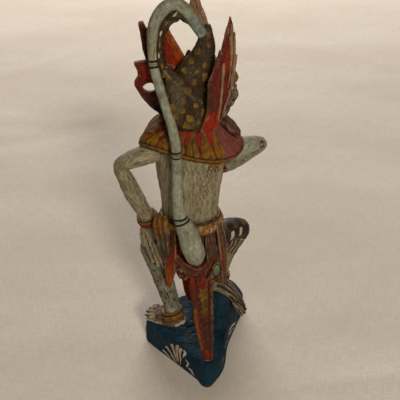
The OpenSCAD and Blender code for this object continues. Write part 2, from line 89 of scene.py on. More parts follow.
def spline(rows, step):
    """Rows of numbers, resampled about step mm apart on a smooth curve through them."""
    rows = np.asarray(rows, float)
    ends = np.vstack([2 * rows[0] - rows[1], rows, 2 * rows[-1] - rows[-2]])
    out = []
    for i in range(1, len(ends) - 2):
        a, b, c, d = ends[i - 1:i + 3]
        count = max(2, int(np.linalg.norm((c - b)[:3]) / step) + 1)
        t = np.arange(count)[:, None] / count
        out.append(0.5 * (2 * b + (c - a) * t + (2 * a - 5 * b + 4 * c - d) * t ** 2
                          + (3 * b - a - 3 * c + d) * t ** 3))
    out.append(rows[-1:])
    return np.vstack(out)


def lengths(points):
    """How far along a line of points each one is."""
    return np.concatenate([[0], np.cumsum(np.linalg.norm(np.diff(points, axis=0), axis=1))])


def bump(x, at, width):
    """1 at the given place, falling smoothly to 0 beyond the width."""
    return np.exp(-((x - at) / width) ** 2)


def ease(x, low, high):
    """0 below low, 1 above high, and smooth between."""
    t = np.clip((x - low) / (high - low), 0, 1)
    return t * t * (3 - 2 * t)


def wobble(points, size, seed=0):
    """A smooth random field over points, about -1 to 1, with bumps of about the given size."""
    local = np.random.default_rng(seed)
    total = np.zeros(len(points))
    for _ in range(10):
        way = unit(local.normal(size=3)) * local.uniform(0.6, 1.6) * math.tau / size
        total += np.sin(points @ way + local.uniform(0, math.tau))
    return total / 4


def from_lines(points, lines):
    """Depth inside tapered strokes: each line is a list of [coordinates..., half width]."""
    depth = np.full(len(points), NO_MARK)
    for line in lines:
        line = np.asarray(line, float)
        for p, q in zip(line[:-1], line[1:]):
            a, b = p[:-1], q[:-1]
            reach = np.linalg.norm(b - a) + max(p[-1], q[-1]) + 3
            close_by = np.abs(points - a).max(axis=1) < reach
            if not close_by.any():
                continue
            rel = points[close_by] - a
            t = np.clip(rel @ (b - a) / max((b - a) @ (b - a), 1e-9), 0, 1)
            gap = np.linalg.norm(rel - t[:, None] * (b - a), axis=1)
            depth[close_by] = np.maximum(depth[close_by], p[-1] + (q[-1] - p[-1]) * t - gap)
    return depth


def hook(x, y, size, turn, sweep=250, width=0.45):
    """A painted comma: a stroke that curls in on itself and thins towards its tail."""
    angles = np.radians(np.linspace(0, sweep, 14)) + turn
    radii = size * np.linspace(1.0, 0.35, 14)
    widths = width * np.sin(np.linspace(0.5, 2.9, 14))
    return np.column_stack([x + radii * np.cos(angles), y + radii * np.sin(angles), widths])


def hooks(rows, sweep, width):
    """Painted commas from rows of (x, y, size, turn)."""
    return [hook(*row, sweep, width) for row in rows]


# ---------------------------------------------------------------- pieces

def grid_faces(rows, around, closed=False):
    """Four-sided faces over rows of points that each run round a loop. closed joins the last row to
    the first."""
    i, k = np.meshgrid(np.arange(rows if closed else rows - 1), np.arange(around), indexing="ij")
    j, below = (k + 1) % around, (i + 1) % rows
    corners = [i * around + k, i * around + j, below * around + j, below * around + k]
    return np.stack(corners, -1).reshape(-1, 4)


def tip_faces(rows, around):
    """Three-sided faces from the first and the last row to the two tips listed after the rows."""
    count = rows * around
    ring = np.arange(around)
    following = (ring + 1) % around
    last = count - around
    return np.vstack([np.stack([following, ring, np.full(around, count)], -1),
                      np.stack([ring + last, following + last, np.full(around, count + 1)], -1)])


def with_tips(values):
    """The values on rows of points, with the first and the last repeated for the two tips."""
    return np.concatenate([values, [values[0], values[-1]]])


def turn_from(middle, turn):
    """How far the turn lies from the middle one, at most half a turn either way."""
    return (turn - middle + math.pi) % math.tau - math.pi


def only(where, values):
    """The values where the condition holds, and a value that paints nothing elsewhere."""
    return np.where(where, values, NO_MARK)


def near(value, at, half):
    """Above 0 within half of the place where the value is at."""
    return half - np.abs(value - at)


class Piece:
    """A mesh in millimetres: points, four- and three-sided faces, and numbers held on the points."""

    def __init__(self, name, points, quads, tris=None):
        self.name = name
        self.points = np.asarray(points, float)
        self.quads = np.asarray(quads, int).reshape(-1, 4)
        self.tris = np.asarray([] if tris is None else tris, int).reshape(-1, 3)
        self.marks = {}
        self.values = {}
        self.grain = self.points.copy()
        if self.volume() < 0:
            self.quads, self.tris = self.quads[:, ::-1], self.tris[:, ::-1]

    def volume(self):
        """Below 0 when the faces point inwards."""
        middle = self.points - self.points.mean(axis=0)
        total = 0.0
        for faces, splits in ((self.quads, ((0, 1, 2), (0, 2, 3))), (self.tris, ((0, 1, 2),))):
            for a, b, c in splits:
                corner = middle[faces]
                total += (corner[:, a] * np.cross(corner[:, b], corner[:, c])).sum()
        return total / 6

    def normals(self):
        """The outward direction at each point."""
        total = np.zeros_like(self.points)
        for faces in (self.quads, self.tris):
            if len(faces):
                corner = self.points[faces]
                face = np.cross(corner[:, 2] - corner[:, 0], corner[:, -1] - corner[:, 1])
                for k in range(faces.shape[1]):
                    np.add.at(total, faces[:, k], face)
        return total / np.maximum(np.linalg.norm(total, axis=1, keepdims=True), 1e-12)

    def wobble(self, size, seed=0):
        """A smooth random field on the piece, about -1 to 1."""
        return wobble(self.points, size, seed)

    def push(self, amount):
        """Moves each point along its normal."""
        self.points = self.points + self.normals() * np.asarray(amount)[:, None]
        return self

    def edges(self):
        """Each edge once, as the numbers of its two points."""
        pairs = [self.quads[:, [i, (i + 1) % 4]] for i in range(4)]
        pairs += [self.tris[:, [i, (i + 1) % 3]] for i in range(3)]
        return np.unique(np.sort(np.vstack(pairs), axis=1), axis=0)

    def curvature(self, passes=4):
        """Positive on raised edges and negative in grooves, in 1/mm."""
        e = self.edges()
        count = np.maximum(np.bincount(e.ravel(), minlength=len(self.points)), 1)

        def around(values):
            total = np.zeros_like(values)
            np.add.at(total, e[:, 0], values[e[:, 1]])
            np.add.at(total, e[:, 1], values[e[:, 0]])
            return total / (count[:, None] if values.ndim == 2 else count)

        smooth = self.points
        for _ in range(3):
            smooth = (smooth + around(smooth)) / 2
        gap = np.linalg.norm(self.points[e[:, 0]] - self.points[e[:, 1]], axis=1).mean()
        bend = ((self.points - smooth) * self.normals()).sum(axis=1) / gap ** 2
        for _ in range(passes):
            bend = (bend + around(bend)) / 2
        return bend

    def mark(self, key, depth):
        """Adds a painted shape: depth is in mm inside it, negative outside."""
        depth = np.maximum(np.asarray(depth, float), NO_MARK)
        self.marks[key] = np.maximum(self.marks.get(key, np.full(len(self.points), NO_MARK)), depth)
        return self

    def to_blender(self, material, body="root"):
        mesh = bpy.data.meshes.new(self.name)
        mesh.from_pydata((self.points * MM).tolist(), [], self.quads.tolist() + self.tris.tolist())
        mesh.shade_smooth()
        values = {"bend": self.curvature(), **self.values}
        values.update({key: depth + INSIDE for key, depth in self.marks.items()})
        for key, numbers in values.items():
            mesh.attributes.new(key, "FLOAT", "POINT").data.foreach_set("value", numbers.astype(np.float32))
        grain = mesh.attributes.new("grain", "FLOAT_VECTOR", "POINT")
        grain.data.foreach_set("vector", self.grain.astype(np.float32).ravel())
        mesh.materials.append(material)
        obj = bpy.data.objects.new(self.name, mesh)
        bpy.context.scene.collection.objects.link(obj)
        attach(obj, body)
        return obj


class Loft(Piece):
    """A tube through rings: along runs down it in mm, turn round it in radians."""

    def __init__(self, name, rows, side=LEFT, around=72, step=0.8, first=None, last=None,
                 shape=None, caps=(0.5, 0.5)):
        path = spline(rows, step)
        centre = path[:, :3]
        n = unit(np.gradient(centre, axis=0))
        n[0] = n[0] if first is None else unit(first)
        n[-1] = n[-1] if last is None else unit(last)
        u = unit(side - n * (n @ side)[:, None])
        v = np.cross(n, u)
        s = lengths(centre)
        turn = np.arange(around) * math.tau / around
        size = np.ones((len(path), around)) if shape is None else shape(s[:, None] / s[-1], turn[None, :])
        x = path[:, 3:4] * size * np.cos(turn)
        y = path[:, 4:5] * size * np.sin(turn)
        rings = centre[:, None] + u[:, None] * x[..., None] + v[:, None] * y[..., None]
        grain = np.stack([x, y, np.repeat(s[:, None], around, 1)], axis=-1)
        round_off = np.radians([30, 55, 75])
        ends = []
        tips = []
        for end, sign, depth in ((0, -1, caps[0]), (-1, 1, caps[1])):
            reach = n[end] * sign * depth * path[end, 3:5].min()
            ends.append([centre[end] + (rings[end] - centre[end]) * math.cos(a) + reach * math.sin(a)
                         for a in round_off])
            tips.append(centre[end] + reach)
        rings = np.concatenate([ends[0][::-1], rings, ends[1]])
        pad = lambda a: np.concatenate([a[:1]] * len(round_off) + [a] + [a[-1:]] * len(round_off))
        grain = pad(grain)
        s = pad(s)
        count = len(rings)
        super().__init__(name, np.vstack([rings.reshape(-1, 3), tips]), grid_faces(count, around),
                         tip_faces(count, around))
        self.along = with_tips(np.repeat(s, around))
        self.turn = with_tips(np.tile(turn, count))
        self.grain = np.vstack([grain.reshape(-1, 3), [grain[0, 0] * [0, 0, 1], grain[-1, 0] * [0, 0, 1]]])
        self.length = s[-1]

    def flat(self, middle=0.0, radius=8.0):
        """Unrolled coordinates in mm: across from a middle angle, and along."""
        across = turn_from(middle, self.turn)
        return np.column_stack([across * radius, self.along])


def band(name, outer, inner, around=180, step=0.7):
    """A level ring-shaped piece between outer and inner rows of [x, y, z, half width, half depth]."""
    loop = np.vstack([spline(outer, step), spline(inner[::-1], step)])
    turn = np.arange(around) * math.tau / around
    rings = (loop[:, None, :3] + LEFT * (loop[:, 3:4] * np.cos(turn))[..., None]
             + BACK * (loop[:, 4:5] * np.sin(turn))[..., None])
    piece = Piece(name, rings.reshape(-1, 3), grid_faces(len(loop), around, closed=True))
    piece.turn = np.tile(turn, len(loop))
    piece.along = np.repeat(lengths(loop[:, [3, 2]]), around)
    piece.outside = np.repeat(np.arange(len(loop)) < len(spline(outer, step)), around)
    piece.grain = np.column_stack([np.cos(piece.turn) * 30, np.sin(piece.turn) * 18, piece.along])
    return piece


def cuff(name, at, way, rows, around=72):
    """A bracelet or anklet: rows of [place along way, outer radius], over an inner radius."""
    way = unit(way)
    u = unit(np.cross(way, BACK + 0.3 * LEFT))
    v = np.cross(way, u)
    prof = spline([[p[0], p[1], 0] for p in rows], 0.35)[:, :2]
    inner = min(r[1] for r in rows) - 0.6
    loop = np.vstack([prof, [[prof[-1, 0], inner], [prof[0, 0], inner]]])
    turn = np.arange(around) * math.tau / around
    rings = (at + way * loop[:, None, 0:1]
             + loop[:, None, 1:2] * (np.cos(turn)[:, None] * u + np.sin(turn)[:, None] * v))
    quads = grid_faces(len(loop), around, closed=True)[:, [1, 0, 3, 2]]
    piece = Piece(name, rings.reshape(-1, 3), quads)
    piece.turn = np.tile(turn, len(loop))
    piece.along = np.repeat(loop[:, 0], around)
    piece.grain = np.column_stack([np.cos(piece.turn) * 8, np.sin(piece.turn) * 8, piece.along])
    return piece


def strap(name, rows, side=LEFT, relief=None, across=25, step=0.7, bow=0.0):
    """A carved board: across runs -1 to 1 over its width, along in mm, and outer is its front face.
    relief(along share, across) adds to the front face in mm; bow rounds the front across its width."""
    path = spline(rows, step)
    centre = path[:, :3]
    n = unit(np.gradient(centre, axis=0))
    u = unit(side - n * (n @ side)[:, None])
    v = np.cross(u, n)
    t = np.linspace(-1, 1, across)
    s = lengths(centre)
    rim = np.sqrt(np.clip(1 - np.abs(t) ** 9, 0, 1))
    lift = np.zeros((len(path), across)) if relief is None else relief(s[:, None] / s[-1], t[None, :])
    front = path[:, 4:5] * rim * (1 - bow * t ** 2) + lift * rim
    back = -path[:, 4:5] * rim
    wide = path[:, 3:4] * t
    outer = centre[:, None] + u[:, None] * wide[..., None] + v[:, None] * front[..., None]
    inner = centre[:, None] + u[:, None] * wide[..., None] + v[:, None] * back[..., None]
    rings = np.concatenate([outer, inner[:, ::-1]], axis=1)
    around = rings.shape[1]
    count = len(rings)
    points = np.vstack([rings.reshape(-1, 3), centre[:1], centre[-1:]])
    piece = Piece(name, points, grid_faces(count, around), tip_faces(count, around))
    piece.across = with_tips(np.tile(np.concatenate([t, t[::-1]]), count))
    piece.along = with_tips(np.repeat(s, around))
    piece.outer = with_tips(np.tile(np.arange(around) < across, count))
    piece.width = with_tips(np.repeat(path[:, 3], around))
    piece.length = s[-1]
    piece.grain = np.column_stack([piece.across * piece.width, piece.outer * 3.0, piece.along])
    piece.face = np.column_stack([piece.across * piece.width, piece.along])
    return piece


def blob(centre, radii, axes=(LEFT, BACK, UP), count=32):
    """An ellipsoid, for fusing into larger shapes."""
    axes = np.asarray(axes, float)
    rise = np.linspace(-math.pi / 2, math.pi / 2, count // 2 + 1)
    turn = np.arange(count) * math.tau / count
    ring = np.stack([np.outer(np.cos(rise), np.cos(turn)), np.outer(np.cos(rise), np.sin(turn)),
                     np.repeat(np.sin(rise)[:, None], count, 1)], -1)
    points = centre + (ring * radii) @ axes
    return Piece("blob", points.reshape(-1, 3), grid_faces(len(rise), count))


def evaluated(points, quads, tris, modifiers):
    """Runs Blender modifiers over a mesh in mm and returns its new points and faces."""
    mesh = bpy.data.meshes.new("work")
    mesh.from_pydata((points * MM).tolist(), [], quads.tolist() + tris.tolist())
    obj = bpy.data.objects.new("work", mesh)
    bpy.context.scene.collection.objects.link(obj)
    for kind, settings in modifiers:
        modifier = obj.modifiers.new(kind, kind)
        for key, value in settings.items():
            setattr(modifier, key, value)
    result = obj.evaluated_get(bpy.context.evaluated_depsgraph_get()).to_mesh()
    flat = np.zeros(len(result.vertices) * 3)
    result.vertices.foreach_get("co", flat)
    four = [tuple(p.vertices) for p in result.polygons if len(p.vertices) == 4]
    three = [tuple(p.vertices) for p in result.polygons if len(p.vertices) == 3]
    bpy.data.objects.remove(obj)
    bpy.data.meshes.remove(mesh)
    return flat.reshape(-1, 3) / MM, four, three


def fuse(name, pieces, voxel=0.6, smooth=4):
    """One solid through overlapping ones, with its joins softened as a knife leaves them."""
    points, quads, tris, count = [], [], [], 0
    for piece in pieces:
        points.append(piece.points)
        quads.append(piece.quads + count)
        tris.append(piece.tris + count)
        count += len(piece.points)
    new, four, three = evaluated(
        np.vstack(points), np.vstack(quads), np.vstack(tris),
        [("REMESH", {"mode": "VOXEL", "voxel_size": voxel * MM}),
         ("SMOOTH", {"factor": 0.5, "iterations": smooth})])
    return Piece(name, new, four, three)


def plate(name, outline, thick, origin, across, round_edge=0.5, voxel=0.45, holes=()):
    """A flat carved leaf: outline in mm across and up a plane through origin, with soft edges.
    Its flat coordinates and its distance from the outline are kept for carving and paint."""
    curve = bpy.data.curves.new("work", "CURVE")
    curve.dimensions = "2D"
    curve.fill_mode = "BOTH"
    curve.extrude = (thick / 2 - round_edge) * MM
    curve.bevel_depth = round_edge * MM
    curve.bevel_resolution = 2
    curve.offset = -round_edge * MM
    loops = [np.asarray(outline, float)] + [np.asarray(h, float) for h in holes]
    for loop in loops:
        strand = curve.splines.new("POLY")
        strand.points.add(len(loop) - 1)
        for point, (x, z) in zip(strand.points, loop):
            point.co = (x * MM, z * MM, 0, 1)
        strand.use_cyclic_u = True
    obj = bpy.data.objects.new("work", curve)
    bpy.context.scene.collection.objects.link(obj)
    mesh = obj.evaluated_get(bpy.context.evaluated_depsgraph_get()).to_mesh()
    flat = np.zeros(len(mesh.vertices) * 3)
    mesh.vertices.foreach_get("co", flat)
    faces = [tuple(p.vertices) for p in mesh.polygons]
    four = np.array([f for f in faces if len(f) == 4], int).reshape(-1, 4)
    three = np.array([f for f in faces if len(f) == 3], int).reshape(-1, 3)
    bpy.data.objects.remove(obj)
    new, four, three = evaluated(
        flat.reshape(-1, 3) / MM, four, three,
        [("REMESH", {"mode": "VOXEL", "voxel_size": voxel * MM}),
         ("SMOOTH", {"factor": 0.5, "iterations": 3})])
    across = unit(across)
    out = np.cross(across, UP)
    piece = Piece(name, np.asarray(origin) + new[:, :1] * across + new[:, 1:2] * UP - new[:, 2:] * out,
                  four, three)
    piece.flat = new[:, :2]
    closed = [np.column_stack([np.vstack([l, l[:1]]), np.zeros(len(l) + 1)]) for l in loops]
    piece.rim = -from_lines(piece.flat, closed)
    piece.grain = np.column_stack([new[:, 0], new[:, 2], new[:, 1]])
    return piece


# ---------------------------------------------------------------- materials

class Graph:
    """Builds one material's nodes: numbers, colours and sockets can stand in for each other."""

    def __init__(self, name):
        self.material = bpy.data.materials.new(name)
        self.material.use_nodes = True
        self.tree = self.material.node_tree
        self.tree.nodes.clear()
        self.shader = self.add("ShaderNodeBsdfPrincipled")
        output = self.add("ShaderNodeOutputMaterial")
        self.tree.links.new(self.shader.outputs[0], output.inputs[0])

    def add(self, kind, **settings):
        node = self.tree.nodes.new(kind)
        for key, value in settings.items():
            setattr(node, key, value)
        return node

    def feed(self, socket, value):
        if isinstance(value, bpy.types.NodeSocket):
            self.tree.links.new(value, socket)
        elif isinstance(value, (tuple, list)) and len(value) == 3 and socket.type == "RGBA":
            socket.default_value = (*value, 1)
        else:
            socket.default_value = value

    def attribute(self, name, output="Fac"):
        return self.add("ShaderNodeAttribute", attribute_name=name).outputs[output]

    def math(self, operation, a, b=0.0, clamp=False):
        node = self.add("ShaderNodeMath", operation=operation, use_clamp=clamp)
        self.feed(node.inputs[0], a)
        self.feed(node.inputs[1], b)
        return node.outputs[0]

    def plus(self, a, b, clamp=False):
        return self.math("ADD", a, b, clamp)

    def minus(self, a, b):
        return self.math("SUBTRACT", a, b)

    def times(self, a, b):
        return self.math("MULTIPLY", a, b)

    def mix(self, share, a, b, blend="MIX"):
        node = self.add("ShaderNodeMix", data_type="RGBA", blend_type=blend)
        self.feed(node.inputs[0], share)
        self.feed(node.inputs[6], a)
        self.feed(node.inputs[7], b)
        return node.outputs[2]

    def step(self, value, low, high, to_low=0.0, to_high=1.0):
        node = self.add("ShaderNodeMapRange", interpolation_type="SMOOTHSTEP")
        for socket, number in zip(node.inputs, (value, low, high, to_low, to_high)):
            self.feed(socket, number)
        return node.outputs[0]

    def stretch(self, vector, scale):
        node = self.add("ShaderNodeMapping")
        self.feed(node.inputs[0], vector)
        node.inputs["Scale"].default_value = scale
        return node.outputs[0]

    def noise(self, vector, scale, detail=3.0, rough=0.55, warp=0.0):
        node = self.add("ShaderNodeTexNoise")
        self.feed(node.inputs["Vector"], vector)
        for key, value in (("Scale", scale), ("Detail", detail), ("Roughness", rough),
                           ("Distortion", warp)):
            node.inputs[key].default_value = value
        return node.outputs[0]

    def cells(self, vector, scale, feature="F1", smooth=0.3):
        node = self.add("ShaderNodeTexVoronoi", feature=feature)
        self.feed(node.inputs["Vector"], vector)
        node.inputs["Scale"].default_value = scale
        if feature == "SMOOTH_F1":
            node.inputs["Smoothness"].default_value = smooth
        return node.outputs["Distance"]

    def bump(self, height, strength, distance, normal=None):
        node = self.add("ShaderNodeBump")
        self.feed(node.inputs["Height"], height)
        node.inputs["Strength"].default_value = strength
        node.inputs["Distance"].default_value = distance
        if normal is not None:
            self.feed(node.inputs["Normal"], normal)
        return node.outputs[0]


def painted_wood(name, light, dark, layers=(), wear=0.5, stroke=1.0, hollow_and_speck_darkening=0.6, rough=(0.5, 0.78),
                 worn_wood=(0.36, 0.20, 0.095), under=(0.62, 0.52, 0.36)):
    """Thin matte paint brushed over carved wood. layers are painted marks, laid in order, each
    (mark, colour, second colour, how broken its edge is). wear bares the wood on raised edges."""
    g = Graph(name)
    place = g.add("ShaderNodeTexCoord").outputs["Object"]
    grain = g.attribute("grain", "Vector")
    hairs = g.noise(g.stretch(grain, (1.5, 1.5, 0.16)), 1.0, 4, 0.65, 0.4)
    broad = g.noise(g.stretch(grain, (0.33, 0.33, 0.06)), 1.0, 3, 0.5, 0.6)
    blotch = g.noise(place, 45, 4, 0.6, 0.5)
    speck = g.noise(place, 900, 3, 0.6)
    fleck = g.noise(place, 260, 4, 0.7)

    share = g.plus(g.times(g.step(hairs, 0.36, 0.64), 0.62 * stroke),
                   g.times(g.step(broad, 0.35, 0.65), 0.3 + 0.38 * (1 - stroke)))
    share = g.plus(share, g.times(g.minus(fleck, 0.5), 0.5), clamp=True)
    colour = g.mix(share, dark, light)
    relief = g.times(hairs, 0.4)
    edge_noise = g.minus(g.noise(place, 700, 3, 0.6), 0.5)
    brushed = g.plus(g.times(hairs, 0.5), g.times(fleck, 0.5))
    thin = g.step(brushed, 0.27, 0.40)
    for mark, first, second, broken in layers:
        depth = g.plus(g.attribute(mark), g.times(edge_noise, broken))
        inside = g.step(depth, INSIDE - 0.09, INSIDE + 0.09)
        inside = g.times(inside, g.plus(g.times(thin, 0.65), 0.35))
        tone = g.mix(g.step(brushed, 0.4, 0.6), second, first)
        colour = g.mix(inside, colour, tone)
        relief = g.plus(relief, g.times(inside, 0.35))
    colour = g.mix(g.step(blotch, 0.30, 0.72, 0.0, 0.45), colour,
                   g.mix(1.0, colour, (0.56, 0.53, 0.47), "MULTIPLY"))

    bend = g.attribute("bend")
    raised = g.plus(bend, g.times(g.minus(fleck, 0.5), 0.55))
    bare = g.step(raised, 0.42 - 0.28 * wear, 0.60 - 0.22 * wear)
    rim = g.step(g.plus(g.attribute("rim"), g.times(g.minus(blotch, 0.5), 1.3)),
                 0.35, 0.65)
    bare = g.math("MAXIMUM", bare, rim)
    chips = g.times(g.step(g.noise(place, 150, 5, 0.75), 0.66, 0.69), wear)
    chips = g.times(chips, g.step(speck, 0.42, 0.55))
    wood = g.mix(g.noise(g.stretch(grain, (2.4, 2.4, 0.2)), 1.0, 3), worn_wood,
                 tuple(0.5 * c for c in worn_wood))
    colour = g.mix(chips, colour, under)
    colour = g.mix(g.times(bare, 0.85), colour, wood)
    # Darkened towards a near-black brown in the carving's hollows, in small specks, and where each piece's
    # darkening attribute asks: real dirt on some pieces, painted shade on others.
    dirt_and_shade_share = g.step(g.times(bend, -1.0), 0.03, 0.32)
    dirt_and_shade_share = g.math("MAXIMUM", g.times(dirt_and_shade_share, hollow_and_speck_darkening), g.attribute("dirt"))
    dirt_and_shade_share = g.plus(dirt_and_shade_share, g.times(g.step(speck, 0.60, 0.68), 0.35 * hollow_and_speck_darkening), clamp=True)
    colour = g.mix(g.times(dirt_and_shade_share, 0.8), colour, (0.028, 0.019, 0.011))
    g.feed(g.shader.inputs["Base Color"], colour)

    matte = g.step(g.plus(g.times(fleck, 0.6), g.times(blotch, 0.4)), 0.35, 0.65,
                   rough[0], rough[1])
    matte = g.plus(matte, g.times(bare, 0.08), clamp=True)
    g.feed(g.shader.inputs["Roughness"], matte)
    carved = g.cells(g.stretch(grain, (0.20, 0.20, 0.10)), 1.0, "SMOOTH_F1", 0.25)
    normal = g.bump(carved, 0.25, 0.0012)
    relief = g.minus(relief, g.times(chips, 0.8))
    relief = g.plus(relief, g.times(speck, 0.25))
    normal = g.bump(relief, 0.42, 0.00035, normal)
    g.feed(g.shader.inputs["Normal"], normal)
    g.shader.inputs["Specular IOR Level"].default_value = 0.16
    return g.material


# Each paint has a light tone and a darker one, in linear RGB.
PAINTS = {
    "black": ((0.012, 0.010, 0.009), (0.03, 0.024, 0.018)),
    "cream": ((0.62, 0.54, 0.40), (0.42, 0.36, 0.25)),
    "gold": ((0.30, 0.135, 0.006), (0.13, 0.050, 0.002)),
    "ochre": ((0.25, 0.135, 0.022), (0.11, 0.055, 0.010)),
    "scarlet": ((0.34, 0.024, 0.004), (0.18, 0.010, 0.002)),
    "maroon": ((0.125, 0.020, 0.011), (0.06, 0.009, 0.005)),
    "plum": ((0.26, 0.075, 0.05), (0.17, 0.04, 0.03)),
    "orange": ((0.42, 0.085, 0.008), (0.25, 0.038, 0.004)),
    "peach": ((0.60, 0.27, 0.14), (0.45, 0.2, 0.1)),
    "slate": ((0.27, 0.295, 0.255), (0.135, 0.15, 0.13)),
    "green": ((0.17, 0.22, 0.13), (0.10, 0.13, 0.08)),
    "teal": ((0.004, 0.040, 0.070), (0.003, 0.026, 0.046)),
    "mint": ((0.36, 0.375, 0.265), (0.20, 0.195, 0.125)),
    "umber": ((0.135, 0.072, 0.034), (0.055, 0.026, 0.011)),
    "tan": ((0.36, 0.235, 0.13), (0.18, 0.105, 0.05)),
    "ash": ((0.125, 0.098, 0.055), (0.060, 0.045, 0.022)),
}


def layers(**broken):
    """The layers for painted_wood, in order, from how broken the edge of each paint's marks is."""
    return [(key, *PAINTS[key], amount) for key, amount in broken.items()]


def make_materials():
    """Each material slot's look: its light and dark tones, its painted layers, and its finish."""
    pale = ((0.43, 0.37, 0.23), (0.125, 0.092, 0.043))
    pale_layers = layers(mint=1.0, umber=0.5, slate=0.6, maroon=0.4, gold=0.4, cream=0.4, black=0.35)
    cloth_layers = layers(umber=0.5, maroon=0.5, orange=0.4, scarlet=0.4, gold=0.4, cream=0.4, green=0.4,
                          plum=0.5, tan=0.4, black=0.4)
    hair_layers = layers(ash=0.5) + [("gold", *PAINTS["ochre"], 0.5)] + layers(cream=0.6)
    rock_layers = layers(teal=1.6, cream=0.6, peach=0.5, black=0.4)
    looks = {
        "pale_paint": (pale, pale_layers, dict(wear=0.32, worn_wood=(0.25, 0.145, 0.07))),
        "check_paint": (pale, pale_layers, dict(wear=0.3, worn_wood=(0.25, 0.145, 0.07))),
        "red_paint": (((0.27, 0.026, 0.007), (0.10, 0.010, 0.003)), cloth_layers,
                      dict(wear=0.62, stroke=0.6, under=(0.42, 0.22, 0.10))),
        "gold_paint": (((0.31, 0.145, 0.014), (0.13, 0.052, 0.006)), cloth_layers,
                       dict(wear=0.4, stroke=0.7, rough=(0.42, 0.7), under=(0.30, 0.09, 0.03))),
        "dark_hair_paint": (((0.070, 0.040, 0.012), (0.020, 0.011, 0.003)), hair_layers,
                            dict(wear=0.35, stroke=0.75, under=(0.2, 0.16, 0.1), hollow_and_speck_darkening=0.5)),
        "blue_paint": (((0.006, 0.024, 0.034), (0.0025, 0.010, 0.015)), rock_layers,
                       dict(wear=0.12, stroke=0.3, rough=(0.55, 0.8), under=(0.04, 0.044, 0.04),
                            worn_wood=(0.05, 0.052, 0.048))),
        "bare_wood": (((0.42, 0.27, 0.14), (0.27, 0.16, 0.08)), (), dict(wear=0.2)),
    }
    return {name: painted_wood(name, *tones, marks, **finish)
            for name, (tones, marks, finish) in looks.items()}


# ---------------------------------------------------------------- limbs, hands and feet

def fur(piece, spots, radius, key="black", size=1.7, width=0.33):
    """Painted fur commas at spots of (turn, along) on a limb."""
    flat = piece.flat(0.0, radius)
    for turn, along in spots:
        x = turn_from(0, turn)
        scale = size * rng.uniform(0.8, 1.25)
        piece.mark(key, from_lines(flat, [hook(x * radius, along, scale, rng.uniform(0, 6.3), 230, width)]))
    return piece


def scatter(turns, alongs, gap, radius, seed=3):
    """Evenly random spots of (turn, along), none nearer than gap mm."""
    local = np.random.default_rng(seed)
    found = []
    for _ in range(900):
        spot = (local.uniform(*turns), local.uniform(*alongs))
        if all(math.hypot((spot[0] - f[0]) * radius, spot[1] - f[1]) > gap for f in found):
            found.append(spot)
    return found


def carve(piece, depth=0.16, size=7.0, seed=1):
    """The slight unevenness that a knife leaves."""
    piece.push(depth * piece.wobble(size, seed) + 0.35 * depth * piece.wobble(size / 3.2, seed + 50))
    return piece


def make_left_leg():
    def knee(s, a):
        return 1 + 0.07 * bump(s, 0.62, 0.1) * np.cos(a) + 0.06 * bump(s, 0.36, 0.16) * np.cos(a - 1.6)
    leg = Loft("left_leg", [
        [15, 5, 39, 6, 6], [17, 2, 52, 6.8, 6.8], [22, -3, 70, 7.8, 7.8], [27.5, -9, 87, 8.4, 8.8],
        [31, -12, 98, 9, 9.2], [24, -7, 106, 9.6, 9.6], [15, -3.5, 113, 9.8, 9.8]],
        first=[0.25, -0.25, 0.93], last=[-0.65, 0.3, 0.7], shape=knee, caps=(0.1, 0.2))
    carve(leg, 0.2, 8, 4)
    flat = leg.flat(REAR_TURN, 7.5)
    shin = hooks((
        (-6.5, 52, 2.0, 2.2), (-3.0, 47, 2.2, 2.6), (-6.5, 42, 2.0, 2.2), (-3.5, 37, 1.8, 2.8),
        (-7.0, 32, 1.8, 4.0),
        (-4.0, 26, 1.7, 2.4), (-1.5, 20, 1.6, 2.0), (-6.5, 21, 1.5, 5.0), (3.5, 24, 1.3, 1.0),
        (-4.0, 14, 1.6, 0.4),
        (1.5, 12, 1.5, 2.4), (5, 16, 1.3, 1.4), (6.5, 32, 1.3, 3.4), (3, 38, 1.2, 0.2)), 240, 0.5)
    outline = [[[-8, 8, 0.4], [-8.4, 20, 0.6], [-8.8, 34, 0.7], [-8.8, 48, 0.7], [-8, 58, 0.5]],
               [[-1, 30, 0.3], [0.5, 24, 0.5], [0.5, 17, 0.3]],
               [[5.5, 26, 0.2], [6, 20, 0.4], [5, 12, 0.2]]]
    leg.mark("black", from_lines(flat, shin + outline))
    leg.mark("cream", from_lines(flat, [[[0.5, 25, 0.4], [1.2, 33, 0.7], [0.8, 44, 0.4]],
                                        [[-4, 8, 1.2], [0, 6.5, 1.6], [3, 8, 1.0]]]))
    leg.mark("mint", 0.6 + 1.8 * leg.wobble(10, 8))
    # The whole leg is painted darker, unevenly: painted shade, as the light is weaker low on the figure.
    leg.values["dirt"] = 0.5 + 0.12 * leg.wobble(5, 28)
    return leg


